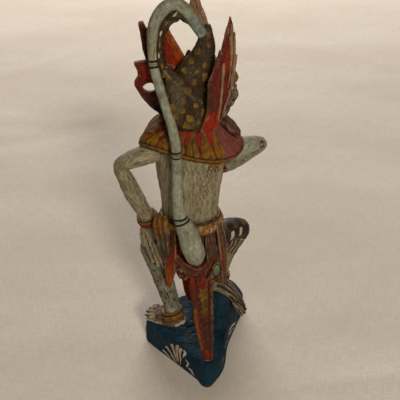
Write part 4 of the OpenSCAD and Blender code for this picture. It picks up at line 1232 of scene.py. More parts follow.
def make_collar():
    petals, petal_width, half_width, half_depth = 17, 10.1, 34, 18.5
    outer = [[0, 1, 202, 33.2, 17.6], [0, 1, 203.6, 34.6, 18.7], [0, 1, 206.5, 34.4, 18.5],
             [0, 1, 211, 31.8, 17.9],
             [0, 1, 216, 28.6, 17], [-1.5, 0.8, 221, 23.6, 16], [-3, 0.5, 225, 18.6, 14.8]]
    inner = [[0, 1, 203, 23.6, 14], [-1, 0.5, 208, 17.5, 13], [-5, -1, 225, 13.8, 12.8]]
    piece = band("collar", outer, inner, around=260, step=0.6)
    p = piece.points
    sweep = np.linspace(0, math.tau, 721)
    ring = np.column_stack([half_width * np.cos(sweep), half_depth * np.sin(sweep), 0 * sweep])
    arc = lengths(ring)
    arc = arc / arc[-1]
    share = np.interp(piece.turn, sweep, arc)
    z = p[:, 2]
    phase = (share * petals) % 1 - 0.5
    step_width = petal_width * np.interp(z, [202, 225], [1.0, 0.52])
    x = phase * step_width
    rise = np.clip((z - 205.8) / 17.0, 0, 1)
    narrowing = np.clip(1.02 - rise, 0, 1) ** 0.8 * (0.7 + 0.3 * np.clip(rise * 6, 0, 1))
    leaf = 0.44 * narrowing * petal_width
    petal = only((z > 205.6) & piece.outside, leaf - np.abs(x))
    notch = np.where(piece.outside, bump(np.minimum(petal, 1.0), 0.0, 0.35), 0)
    piece.push(np.where(piece.outside, 0.45 * ease(petal, -0.2, 0.6) - 0.18 * notch, 0))
    piece.push(np.where(piece.outside, 0.35 * bump(z, 204.2, 1.0) - 0.3 * bump(z, 205.7, 0.35), 0))
    piece.push(-0.3 * bump(x, 0, 0.3) * (petal > 0.4))
    carve(piece, 0.16, 7, 71)
    back = turn_from(REAR_TURN, piece.turn)
    piece.mark("gold", petal)
    piece.mark("maroon", only(~(petal > 0.3), 0.2 * wobble(p, 13, 16)))
    piece.mark("orange", only(~(petal > 0), 0.12 * wobble(p, 9, 6) - 0.02))
    piece.mark("orange", only(back < -0.75, 0.2 + 3.0 * wobble(p, 8, 12)))
    piece.mark("scarlet", np.minimum(np.minimum(near(back, 0.35, 0.55), 0.2) * 18, (z - 214))
               - 1.5 * (petal > 0.6))
    piece.mark("gold", only(piece.outside, near(z, 204.0, 1.25)))
    piece.mark("black", only(piece.outside, near(z, 205.8, 0.34) + 0.2 * wobble(p, 2.5, 9)))
    piece.mark("black", only(petal > 0, 0.16 - np.abs(x)))
    ticks = 0.25 - np.abs(((share * petals * 6) % 1) - 0.5) * 1.4
    piece.mark("black", only(piece.outside & (z > 206) & (z < 207.4), ticks))
    lappet = np.minimum(near(back, 1.36, 0.62) * 24, 9)
    piece.mark("plum", only(piece.outside & (z > 203.0), lappet))
    piece.mark("scarlet", only(piece.outside, 0.05 * (z - 219) + 0.05 * wobble(p, 7, 4)
                               - 0.3 * (np.abs(back - 0.1) > 0.7)))
    piece.mark("black", only(z < 204.3, 203.8 - z + 0.4 * wobble(p, 7, 21)))
    # Uneven darkening outside; the inner face and underside are darker all over.
    piece.values["dirt"] = np.where(piece.outside, 0.24 + 0.2 * wobble(p, 8, 33), 0.5)
    low = ease(222 - z, 0, 16)
    piece.points[:, 2] -= 5.0 * np.sin(2 * back) * low * (np.abs(back) < math.pi / 2)
    piece.points[:, 0] *= 1 + 0.07 * (piece.points[:, 0] < 0) * low
    return piece


def make_shoulder_lappets():
    out = []
    for name, rows, seed in (
            ("left_shoulder_lappet", [[17.5, 2, 226, 5.4, 1.4], [21.5, 2, 222.6, 7, 1.6],
                                      [26, 2, 217.8, 6.6, 1.5],
                                      [29.6, 2, 212.6, 3.4, 1.2]], 75),
            ("right_shoulder_lappet", [[-18.5, 1, 226, 6, 1.4], [-24, 1, 222.2, 7.8, 1.6],
                                       [-30, 1, 216.2, 7.6, 1.6],
                                       [-34, 1, 211.6, 4.6, 1.3]], 76)):
        relief = lambda s, t: 0.4 * bump(np.abs(t), 0.86, 0.1) + 0.2 * bump(t, 0, 0.12) + 0 * s
        piece = strap(name, rows, side=BACK if rows[0][0] < 0 else -BACK, relief=relief, across=33,
                      step=0.5)
        carve(piece, 0.14, 6, seed)
        x = piece.face[:, 0]
        right = rows[0][0] < 0
        piece.mark("maroon" if right else "umber", np.full(len(x), 1.0) - 0.8 * piece.wobble(8, seed))
        if not right:
            piece.mark("gold", 0.45 * piece.width - np.abs(x) - 0.3 + 0.5 * piece.wobble(6, 3))
        piece.mark("black", hatch(piece.face, 2.0, 0.0, 0.3)
                   - 2 * (np.abs(piece.across) < (0.1 if right else 0.8)))
        piece.mark("gold", 0.4 - np.abs(np.abs(x) - piece.width * 0.72))
        piece.values["rim"] = 0.5 * ease(np.abs(piece.across), 0.93, 1.0)
        out.append(piece)
    return out


# ---------------------------------------------------------------- tail

TAIL = [[-4.5, 26.8, 118, 3.4], [-4.3, 27, 120.5, 6.2], [-3.4, 27.2, 126, 7.6], [-1.2, 26.9, 134, 7.8],
        [1.8, 25.6, 144.5, 6.9],
        [6.2, 23.4, 155, 5.3], [8.2, 21.8, 166, 4.3], [8.6, 21, 180, 3.7], [8.3, 22.2, 197, 3.5],
        [8.3, 23.6, 211, 3.5], [9.2, 23.2, 221, 3.3], [11, 21.4, 231.5, 3.1], [14, 18.6, 242, 3.1],
        [17.6, 15.4, 253, 3.1], [20.2, 12.6, 262, 3], [21.6, 10.6, 270, 3], [22.1, 9, 278, 3.2],
        [21.8, 8, 286, 3.5],
        [20.4, 6.8, 294.4, 3.8], [16.6, 6, 301.2, 4], [12, 5.2, 305.4, 4.1], [7, 4.6, 306.2, 4.1],
        [2.4, 4, 303.2, 4.1], [-1.6, 3.5, 298, 4], [-5.4, 3, 291.6, 3.9], [-9, 3, 285.8, 3.6]]
TAIL_PIECES = [("tail_root", 0, 5), ("tail_back", 5, 9), ("tail_neck", 9, 15), ("tail_arch", 15, 25)]


def make_tail():
    centre = np.array(TAIL)[:, :3]
    heading = unit(np.gradient(centre, axis=0))
    pieces = []
    for name, start, end in TAIL_PIECES:
        rows = [[x, y, z, r, r] for x, y, z, r in TAIL[start:end + 1]]
        square = lambda s, a: 1 + 0.034 * np.cos(4 * (a - 0.5)) + 0 * s
        tail = Loft(name, rows, side=BACK, around=64, step=0.6, first=heading[start], last=heading[end],
                    shape=square, caps=(0.75 if start == 0 else 0.02, 0.02))
        carve(tail, 0.14, 9, 80)
        shade = tail.wobble(5, 3) * 0.12
        tail.mark("mint", 0.9 + 1.6 * tail.wobble(11, 8) + 0.8 * np.cos(tail.turn - 0.2))
        # Painted shade: a darker band, unevenly, down the side of each length turned away from the light,
        # but not on the root.
        facet = np.abs(turn_from(5.0, tail.turn))
        uneven = 0.75 + 0.5 * tail.wobble(7, 12)
        tail.values["dirt"] = 0.42 * (1 - ease(facet, 0.35, 0.8)) * uneven * (name != "tail_root")
        for seam, present in ((0.0, start > 0), (tail.length, end < 25)):
            if present:
                gap = np.abs(tail.along - seam)
                tail.mark("black", near(gap, 1.9, 0.85) + shade)
                tail.push(-0.25 * bump(gap, 1.9, 0.4))
        if name == "tail_arch":
            tail.mark("slate", np.minimum(tail.along - tail.length + 15, 3) - 1.6 - 1.6 * tail.wobble(6, 2))
        if name == "tail_root":
            flat = tail.flat(0.0, 6.5)
            swirls = [hook(x, y, 1.6, t, 290, 0.28) for x, y,
                      t in ((0, 9, 1), (5, 14, 3), (-6, 15, 5), (1, 20, 2), (7, 23, 0))]
            tail.mark("cream", from_lines(flat, swirls))
        pieces.append(tail)
    return pieces


# ---------------------------------------------------------------- head

def on_head(forward, across, height):
    """A point by its distance forward, to the face's left, and its height."""
    return SKULL + FACE * forward + CHEEK * across + UP * height


def make_head():
    axes = (FACE, CHEEK, UP)
    parts = [
        Loft("neck", [[-4, -1, 216, 11.5, 11.2], [-6.5, -2.2, 224, 11, 10.6], [-9, -3, 234, 11, 11]],
             around=64, caps=(0.1, 0.5)),
        blob(on_head(0.5, 0, 250), (17, 13.4, 17.6), axes),
        blob(on_head(8, 0, 240), (14.5, 11.5, 13), axes),
        blob(on_head(17.5, 0, 236.2), (8, 8.2, 6.6), axes),
        blob(on_head(16.0, 0, 231.0), (7.2, 7.0, 4.6), axes),
        blob(on_head(22.2, 0, 240.4), (3.0, 3.6, 2.4), axes, 24),
        blob(on_head(19.5, 0, 243.0), (4.2, 2.0, 4.0), axes, 24),
    ]
    brow, cheek, eyeball = (13.2, 5.6, 249.4), (5, 11.2, 236), (13.6, 5.9, 245.0)
    for (forward, across, height), size, count in (
            (brow, (5.6, 5.4, 2.5), 24), (cheek, (8.5, 4.6, 10), 32), (eyeball, (3.9, 3.6, 3.3), 24)):
        parts += [blob(on_head(forward, side * across, height), size, axes, count) for side in (1, -1)]
    head = fuse("head", parts, 0.55, 5)
    f = (head.points - SKULL) @ FACE
    c = (head.points - SKULL) @ CHEEK
    z = head.points[:, 2]
    half_face = np.column_stack([f, np.abs(c), z])
    mouth = from_lines(half_face, [[[26, 0, 233.4, 0.55], [23, 4.4, 233.6, 0.6], [17, 7.6, 235.0, 0.5]]])
    lips = from_lines(half_face, [[[26, 0, 233.4, 1.5], [23, 4.6, 233.6, 1.5], [17.5, 7.6, 235.0, 0.9]]])
    nostril = 1.0 - np.linalg.norm(np.column_stack([f - 24.6, np.abs(c) - 1.7, z - 239.2]), axis=1)
    eye = 2.9 - np.linalg.norm(np.column_stack([(f - 16.9) * 0.8, np.abs(c) - 6.3, (z - 245.0) * 1.25]),
                               axis=1)
    pupil = 1.25 - np.linalg.norm(np.column_stack([(f - 17.3) * 0.8, np.abs(c) - 6.3, z - 245.0]), axis=1)
    ruff_angle = np.arctan2(z - 241, f - 10)
    ruff = ease(np.abs(c), 7.4, 9.4) * ease(252 - z, 0, 4) * ease(f, -13, -8) * ease(15 - f, 0, 3)
    strands = lambda: np.cos(44 * ruff_angle + 2.4 * head.wobble(7, 3))
    head.push(-0.8 * ease(mouth, -0.8, 0.4) - 0.7 * ease(nostril, -0.8, 0.4) + 0.28 * strands() * ruff
              - 0.35 * bump(eye, 0, 0.4))
    carve(head, 0.12, 6, 91)
    head.mark("maroon", lips)
    head.mark("cream", eye)
    head.mark("maroon", 0.45 - np.abs(eye + 0.1))
    head.mark("black", np.maximum.reduce([pupil, mouth - 0.1, nostril, 0.26 - np.abs(eye + 0.55)]))
    teeth = np.minimum(near(z, 234.5, 0.75), 0.62 - np.abs(((np.abs(c) + 0.7) % 1.5) - 0.75))
    head.mark("cream", only((np.abs(c) < 5) & (f > 21), teeth))
    streak = strands() + 0.5 * head.wobble(4, 13)
    head.mark("umber", 0.16 * (ruff - 0.5) - 0.07 * streak - 0.02)
    head.mark("cream", only(ruff > 0.4, 0.12 * (streak - 0.8)))
    head.mark("black", only(ruff > 0.4, 0.2 * (-streak - 1.0)))
    brow = from_lines(half_face, [[[21.5, 1.2, 248.0, 0.4], [19.8, 5.6, 251.4, 0.75],
                                   [14.5, 10.2, 249.8, 0.4]]])
    head.mark("black", brow)
    head.mark("gold", 0.6 - np.linalg.norm(np.column_stack([f - 20.5, c, z - 251.3]), axis=1) + 0.7)
    # Painted shade on the rear of the head under the hair: dark maroon and umber strands and a darker wash.
    rear = ease(-c, 8, 11) * ease(252 - z, 0, 4)
    head.mark("maroon", 0.12 * rear - 0.1 - 0.12 * np.cos(23 * ruff_angle + 1.5 * head.wobble(6, 17)))
    head.mark("umber", 0.12 * rear - 0.06 - 0.12 * np.cos(31 * ruff_angle + 1.5 * head.wobble(5, 19)))
    head.values["dirt"] = 0.45 * rear
    head.grain = np.column_stack([c, f, z * 1.0])
    return head


def make_diadem():
    piece = Piece("diadem", *diadem_mesh())
    carve(piece, 0.12, 6, 95)
    z = piece.points[:, 2]
    turn = np.arctan2(piece.points[:, 1] - SKULL[1], piece.points[:, 0] - SKULL[0])
    piece.mark("maroon", only(z < 257.5, 0.9 - np.hypot(((turn * 14 / math.pi) % 2 - 1) * 3.4, (z - 254))))
    piece.mark("black", near(z, 257.0, 0.25))
    piece.mark("black", near(z, 251.4, 0.2))
    return piece


def diadem_mesh():
    """The band round the brow and its pyramids, fused from simple solids."""
    around = 96
    turn = np.arange(around) * math.tau / around
    rows = [(250, 3.9, 20.4, 15.3), (251, 3.7, 20.5, 15.6), (254, 2.6, 19.5, 15.6), (258, 1.6, 17.4, 14.9),
            (259.2, 1.4, 16.6, 14.2),
            (259.2, 1.0, 14.3, 12.2), (254, 2.0, 16.5, 13.5), (250, 3.75, 18.2, 13.5)]
    rings = np.array([on_head(0, 0, h) + FACE * shift + np.cos(turn)[:, None] * a * FACE
                      + np.sin(turn)[:, None] * b * CHEEK
                      for h, shift, a, b in rows])
    parts = [Piece("rim", rings.reshape(-1, 3), grid_faces(len(rows), around, closed=True))]
    for degrees, reach, height in ((0, 15.1, 12), (110, 13.4, 9.6), (-48, 13.4, 9.6), (48, 13.4, 9.6)):
        a = TURN - math.radians(degrees)
        out = np.array([-math.sin(a), -math.cos(a), 0.0])
        along = np.cross(UP, out)
        foot = SKULL + out * reach
        corners = []
        for h, wide, deep in ((257.5, 4.6, 1.7), (261, 4.9, 2.0), (264, 3.0, 1.5),
                              (258.9 + height, 0.7, 0.7)):
            corners += [foot + along * sx * wide + out * sy * deep + UP * h for sx,
                        sy in ((-1, -1), (1, -1), (1, 1), (-1, 1))]
        faces = [[0, 3, 2, 1], [12, 13, 14, 15]]
        faces += [[4 * r + q, 4 * r + (q + 1) % 4, 4 * r + 4 + (q + 1) % 4,
                   4 * r + 4 + q] for r in range(3) for q in range(4)]
        parts.append(Piece("peak", corners, faces))
    fused = fuse("diadem", parts, 0.45, 2)
    return fused.points, fused.quads, fused.tris


# ---------------------------------------------------------------- hair

def spotted(piece, gap, size, seed, key="gold", long=1.0, where=None, soft=1.0):
    """Uneven painted spots all over a piece, spread out evenly."""
    local = np.random.default_rng(seed)
    chosen = []
    for index in local.permutation(len(piece.points)):
        p = piece.points[index]
        if where is not None and not where(p):
            continue
        if all(np.linalg.norm(p - q) > gap for q in chosen):
            chosen.append(p)
        if len(chosen) > 90:
            break
    for p in chosen:
        close_by = np.abs(piece.points - p).max(axis=1) < size * 3
        rel = piece.points[close_by] - p
        tilt = local.uniform(-0.6, 0.6)
        way = unit([math.sin(tilt), 0.2, math.cos(tilt)])
        stretched = rel - (rel @ way)[:, None] * way * (1 - 1 / long)
        depth = np.full(len(piece.points), NO_MARK)
        depth[close_by] = size * local.uniform(0.5, 1.3) - np.linalg.norm(stretched, axis=1)
        depth[close_by] += 0.45 * wobble(piece.points[close_by], 2.4, seed)
        piece.mark(key, depth * soft)
    return piece


def make_hair_mass():
    """Two lobes that cross: the upper one sweeps up to the tail's tip, the lower one lies over it."""
    upper = Loft("lobe", [[2, 12, 236, 12, 7.5], [1.2, 10.8, 246, 14.4, 8], [-0.6, 9.4, 253, 13.8, 7.8],
                          [-3.6, 8, 259.5, 12.4, 7], [-6, 6.6, 265, 10.8, 6.4], [-8.6, 5, 271.4, 8.4, 5.6],
                          [-10.4, 3.4, 278, 6.6, 5], [-11.2, 2.2, 285, 4.6, 4.2],
                          [-12, 1.2, 290.8, 2.2, 2.6]],
                 around=96, caps=(0.5, 0.7))
    lower = Loft("lobe", [[1, 14.6, 225.5, 9, 3.4], [0.8, 15.4, 231, 13, 5.8], [1.6, 15.4, 238, 14.2, 7],
                          [3.6, 14.8, 245, 12.4, 6.6], [6, 14, 252, 9.6, 5.6], [9.4, 12.6, 258, 6.4, 4.6],
                          [12.4, 11.4, 263, 3.4, 3.4], [14, 10.6, 267, 1.6, 2.2]], around=96,
                 caps=(0.7, 0.8))
    hair = fuse("hair_mass", [upper, lower], 0.55, 4)
    p = hair.points
    line = from_lines(p[:, [0, 2]], [[[14.5, 266, 0.3], [8.5, 260.5, 0.45], [2.2, 255.4, 0.5],
                                      [-4, 250, 0.45], [-8.5, 247, 0.2]]])
    line = only(p[:, 1] > 12, line)
    below = 0.9 * ease(line, -3.2, -0.4)
    side_of_line = p[:, 2] - (266 - 0.86 * (14.5 - p[:, 0]))
    hair.push(0.8 * bump(line, 0, 1.1) - np.where(side_of_line > 0, below * 1.2, 0))
    carve(hair, 0.22, 8, 101)
    groove = from_lines(p[:, [0, 2]], [[[9, 262, 0.4], [2, 270, 0.4], [-5, 279, 0.4]]])
    hair.push(-0.3 * bump(only(p[:, 1] > 6, groove), 0.2, 0.6))
    spotted(hair, 6.4, 2.0, 7, long=1.3, soft=0.22)
    hair.mark("ash", 0.12 * only(side_of_line < 1.6, line + 0.9))
    hair.mark("ash", 0.14 * wobble(p, 13, 31) + 0.06 * ease(p[:, 0], -2, 8) - 0.07)
    # Painted shade along the edge of the lower lobe where it lies over the upper one; the hair's front is
    # darker too.
    hair.values["dirt"] = np.maximum(0.55 * ease(line, -3.4, -0.8) * (side_of_line > 0.6),
                                     0.5 * ease(-p[:, 1], -11, -5))
    return hair


def make_hair_crest():
    crest = Loft("hair_crest", [[15, 9.4, 262, 3, 4.4], [17.2, 8.4, 271, 3.1, 4.4],
                                [17.8, 7.6, 278, 3, 4.2],
                                [17.2, 6.8, 286, 3.0, 4], [14.8, 6, 293, 3.4, 3.8],
                                [11, 5.0, 297.5, 3.9, 3.6],
                                [6, 4.2, 299.6, 4.2, 3.4], [1, 3.6, 298.2, 4.0, 3.2],
                                [-3.4, 3.4, 294, 3.2, 2.8]],
                 around=64, step=0.6, caps=(0.5, 0.8), shape=lambda s, a: 1 + 0.05 * np.cos(34 * s) + 0 * a)
    carve(crest, 0.16, 6, 111)
    middle = crest.flat(REAR_TURN, 4)
    dots = [[[x, y - long, 0.4], [x, y, wide], [x, y + long, 0.4]] for x, y, wide, long in (
        (0.6, 7, 0.9, 1.5), (-0.5, 14, 0.9, 1.6), (0.4, 21, 0.8, 1.5), (-0.3, 28, 0.9, 1.6),
        (0.5, 35, 0.8, 1.4),
        (0, 42, 0.8, 1.5), (0.4, 49, 0.4, 0.8))]
    crest.mark("cream", from_lines(middle, dots[1::2]) - 0.05)
    crest.mark("gold", from_lines(middle, dots[0::2]))
    # The top end, inside the tail's arch, is washed grey and darker, and its edges show no wear.
    top = ease(crest.along, 38, 46)
    crest.mark("ash", 0.12 * top + 0.08 * crest.wobble(5, 32) - 0.08)
    crest.values["dirt"] = 0.5 * top
    crest.values["bend"] = crest.curvature() * (1 - top)
    spotted(crest, 6, 1.0, 17, where=lambda q: q[1] < 5 and q[2] < 290)
    return crest


# ---------------------------------------------------------------- crown leaves

def arc_through(points, corners, step=0.8):
    """An outline smoothed through its points, except at the corners, which stay sharp."""
    points = np.asarray(points, float)
    marks = [i for i, flag in enumerate(corners) if flag]
    out = []
    for a, b in zip(marks, marks[1:] + [marks[0] + len(points)]):
        run = [points[i % len(points)] for i in range(a, b + 1)]
        if len(run) == 2:
            out.append(np.array(run[:1]))
            continue
        rows = np.column_stack([run, np.zeros(len(run))])
        out.append(spline(rows, step)[:-1, :2])
    return np.vstack(out)


def leaf(name, outline, corners, thick, origin, across, veins, seed, holes=(), rim_paint=0.6, highlight_and_shade_spots=()):
    """A red crown leaf: carved veins, a sunk face inside a raised border, worn edges, and soft spots of
    other paint that stand for light and shade, each (mark, its middle, its reach, how fast it comes in)."""
    piece = plate(name, arc_through(outline, corners), thick, origin, across, holes=holes)
    lines = from_lines(piece.flat, veins)
    facing = np.abs(piece.normals() @ np.cross(unit(across), UP))
    face = ease(facing, 0.55, 0.8)
    piece.push(face * (-0.32 * ease(lines, -0.5, 0.3) + 0.28 * bump(piece.rim, 1.5, 0.7)
                       - 0.25 * bump(piece.rim, 2.7, 0.45)))
    carve(piece, 0.14, 7, seed)
    piece.mark("black", only(face > 0.5, lines - 0.32) - 0.2 * piece.wobble(5, seed))
    # A dark red band in the sunk groove inside the raised border: painted shade.
    piece.mark("maroon", 0.05 * (2.2 - np.abs(piece.rim - 2.6)) - 0.07 * piece.wobble(9, seed))
    piece.mark("scarlet", 0.10 * piece.wobble(14, seed + 9) + 0.03 * np.minimum(piece.rim - 5, 3))
    # Soft spots of painted highlight in orange and tan, and painted shade in maroon and black.
    for key, spot, reach, amount in highlight_and_shade_spots:
        piece.mark(key, amount * (reach - np.linalg.norm(piece.flat - spot, axis=1))
                   - 0.05 * piece.wobble(6, seed))
    piece.values["rim"] = rim_paint * (1 - face)
    return piece


def right_leaf(name, outline, layer, veins, seed, corners=None, strips=()):
    """A leaf beside the right ear, on its layer outward from the head and turned with it."""
    across = np.array([math.cos(math.radians(30)), math.sin(math.radians(30)), 0])
    origin = np.array([-10.0, 16.2 + 2.8 * layer, 0]) - across * -10.0
    origin[2] = 0
    piece = leaf(name, outline, corners, 2.5, origin, across, veins, seed)
    if strips:
        piece.mark("tan", 0.3 * from_lines(piece.flat, [[[x, z, 0.95] for x,
                                                         z in strip] for strip in strips]))
    else:
        piece.mark("tan", 0.3 * (0.9 - np.abs(piece.rim - 1.1) - 0.5 * piece.wobble(7, seed)))
    if layer == 3:
        low, back = piece.flat[:, 1], piece.flat[:, 0]
        # On the nearest leaf, painted shadow of the hair: dark red towards the head, and darker still
        # between these heights.
        piece.mark("maroon", 0.05 * (back + 20.5) - 0.05 * piece.wobble(8, 4))
        piece.values["dirt"] = 0.72 * ease(back, -21, -18) * ease(265 - low, 0, 8) * ease(low, 239, 243)
        piece.mark("scarlet", 0.04 * (245 - low) + 0.05 * piece.wobble(6, 5))
    return piece


def vein(*points, wide=0.55):
    """A carved vein through (x, z) points, tapering to half its width."""
    return [[x, z, wide * w] for (x, z), w in zip(points, np.linspace(1.0, 0.5, len(points)))]


def make_leaves():
    flat = np.array([1.0, 0.0, 0.0])
    leaves = [
        leaf("crown_spike",
             [[-8, 266], [-7.5, 275], [-2.5, 285], [0, 293], [-1, 302.5], [-3.5, 319.5], [-7, 302.5],
              [-10.5, 293.5],
              [-13, 284], [-14, 275], [-13, 266]],
             [1, 0, 0, 0, 0, 1, 0, 0, 0, 0, 1], 4.0, [0, -10, 0], flat,
             [vein((-10, 268), (-8, 284), (-5, 298), (-3.8, 312))], 121,
             highlight_and_shade_spots=[("orange", (-5, 292), 26, 0.012), ("tan", (-7, 296), 22, 0.004)]),
        leaf("left_upper_leaf",
             [[31.5, 290], [28.5, 290.5], [26, 284.5], [22.5, 290], [16.5, 295.5], [13, 286], [3.2, 267.5],
              [1.5, 259.5], [5.5, 257], [6.5, 252], [25.5, 255], [29, 270]],
             [1, 1, 1, 0, 1, 0, 1, 1, 1, 1, 1, 0], 3.4, [0, -6.5, 0], flat,
             [vein((12, 256), (16, 272), (17, 288)), vein((17, 256), (23, 270), (28, 286)),
              vein((8, 258), (10, 268), (12.5, 279))],
             122, highlight_and_shade_spots=[("orange", (8, 266), 16, 0.02), ("maroon", (25, 282), 12, 0.02)]),
        leaf("left_ear_leaf",
             [[35.5, 264.5], [33.6, 259.5], [33, 255], [35.7, 250], [33.5, 243.7], [28, 234.5], [19.5, 226],
              [6, 229],
              [4.3, 236], [4.3, 248.5], [8.5, 249.5], [8.5, 262], [26, 265.5]],
             [1, 0, 1, 0, 0, 0, 1, 1, 0, 1, 1, 1, 0], 3.4, [0, -2, 0], flat,
             [vein((10, 258), (20, 261), (33, 262.5)), vein((10, 252), (20, 255.5), (31, 256)),
              vein((10, 234), (20, 233), (26, 238)),
              vein((9, 240), (16, 239.5), (21, 243))], 123,
             holes=[[(25.6 + (4.0 + 0.9 * math.cos(2 * t)) * math.cos(t), 246.6 + 3.5 * math.sin(t))
                     for t in np.linspace(math.tau, 0, 24, endpoint=False)]],
             highlight_and_shade_spots=[("maroon", (24, 238), 14, 0.02), ("black", (20, 229), 9, 0.01)]),
        right_leaf("right_ear_leaf_front",
                   [[-33.5, 273.5], [-29, 269], [-13, 250], [-13, 236], [-23.5, 231], [-27, 243],
                    [-31, 253]], 0,
                   [vein((-18, 240), (-25, 254), (-31, 269))], 124, [1, 0, 0, 1, 1, 0, 0]),
        right_leaf("right_ear_leaf_brow",
                   [[-31, 291], [-27.5, 279], [-14, 254], [-13, 234], [-22.5, 231], [-29, 248],
                    [-31.7, 264.5], [-32, 278]], 1,
                   [vein((-19, 238), (-26, 258), (-30, 284))], 125, [1, 0, 0, 1, 1, 0, 0, 0]),
        right_leaf("right_ear_leaf_tall",
                   [[-27.5, 302.5], [-24.9, 293.5], [-23, 286.5], [-21.5, 280.5], [-20, 275], [-17.5, 266],
                    [-15, 252],
                    [-14.5, 235.5], [-22.5, 232.5], [-26, 249.5], [-28.5, 263], [-30, 278], [-30, 286.5],
                    [-29, 297]], 2,
                   [vein((-19, 240), (-24, 262), (-27, 296)), vein((-17.5, 242), (-20, 262), (-21, 280))],
                   126,
                   [1, 0, 0, 0, 0, 0, 0, 1, 1, 0, 0, 0, 0, 0],
                   strips=[[(-27.8, 297), (-27.8, 288), (-28.6, 278), (-28.6, 268), (-27, 256)]]),
        right_leaf("right_ear_leaf_rear",
                   [[-20.8, 284], [-18.6, 277.3], [-15.9, 270], [-12.6, 263], [-12.2, 251.5], [-11, 240],
                    [-7, 229.5],
                    [-19, 229.5], [-21.8, 242], [-22.8, 252], [-23.6, 262.5], [-24.2, 274]], 3,
                   [vein((-17.5, 236), (-18.4, 256), (-20.6, 276))], 127,
                   [1, 0, 0, 0, 0, 0, 1, 1, 0, 0, 0, 0],
                   strips=[[(-23, 274), (-22.4, 262), (-21.4, 248), (-20.2, 236)]])]
    return leaves


# ---------------------------------------------------------------- rock

ROCK_OUTLINE = [[39, -2], [33, 6], [16, 22], [-4, 41], [-8, 47], [-13, 49.5], [-18, 46], [-27, 30],
                [-31, 6], [-39, -17], [-46, -36], [-41, -46], [-24, -47], [-2, -41], [19, -30], [37, -11]]
ROCK_CENTRE = np.array([-4.0, -2.0])


def rock_top(p):
    """The height of the rock's top over (x, y) points: three mounds on a low base."""
    mound = lambda at, reach, height: height * np.exp(-(np.linalg.norm(p - at, axis=-1) / reach) ** 4)
    return 20 + mound([26, -2], 19, 8) + mound([-25, -22], 21, 25) + mound([-13, 44], 14, 3)


def make_rock():
    loop = np.array(ROCK_OUTLINE + ROCK_OUTLINE[:1], float)
    wrap = np.vstack([loop[-3:-1], loop, loop[1:3]])
    rim = spline(np.column_stack([wrap, np.zeros(len(wrap))]), 0.9)[:, :2]
    angle = np.unwrap(np.arctan2(rim[:, 1] - ROCK_CENTRE[1], rim[:, 0] - ROCK_CENTRE[0]))
    radius = np.linalg.norm(rim - ROCK_CENTRE, axis=1)
    around = 300
    turn = np.arange(around) * math.tau / around
    order = np.argsort(angle)
    base = angle[order]
    full = np.interp(np.mod(turn - base[0], math.tau) + base[0], base, radius[order])
    levels = [[1.0, 0.0]] + [[1 - 0.018 * t ** 3, 0.86 * t] for t in np.linspace(0.04, 1, 22)]
    levels += [[0.982 - 0.08 * t, 0.86 + 0.14 * math.sin(t * math.pi / 2)] for t in np.linspace(0.12, 1, 8)]
    levels += [[w, 1.0] for w in np.linspace(0.885, 0.02, 66)]
    share = np.array(levels)
    spokes = full[None, :, None]
    flat = ROCK_CENTRE + share[:, 0, None, None] * spokes * np.stack([np.cos(turn), np.sin(turn)], -1)
    height = rock_top(flat) * share[:, 1, None]
    rings = np.concatenate([flat, height[..., None]], -1)
    count = len(rings)
    tips = [[*ROCK_CENTRE, 0], [*ROCK_CENTRE, rock_top(ROCK_CENTRE)]]
    rock = Piece("rock_base", np.vstack([rings.reshape(-1, 3), tips]), grid_faces(count, around),
                 tip_faces(count, around))
    p = rock.points
    free = ease(p[:, 2], 0.3, 3.0)
    chips = -0.55 * ease(wobble(p, 9, 5), 0.25, 0.9) - 0.35 * ease(wobble(p, 5, 6), 0.3, 0.9)
    rock.push(free * (0.30 * wobble(p, 14, 4) + 0.12 * wobble(p, 4, 7) + chips * 0.7 - 0.2))
    rock.points[p[:, 2] < 0.3, 2] = 0
    paint_foam(rock)
    return rock


def wall_lines(points, start, end, lines):
    """The painted depth of lines given in (along, height) mm on the upright wall from start to end. On
    the top, which a line reaches over the rim, the height grows with the way in from the wall."""
    start, end = np.array(start, float), np.array(end, float)
    way = unit(end - start)
    rel = points[:, :2] - start
    inward = -(rel @ [way[1], -way[0]])
    flat = np.column_stack([rel @ way, points[:, 2] + 0.9 * np.maximum(inward, 0)])
    return only(inward < 9, from_lines(flat, lines))


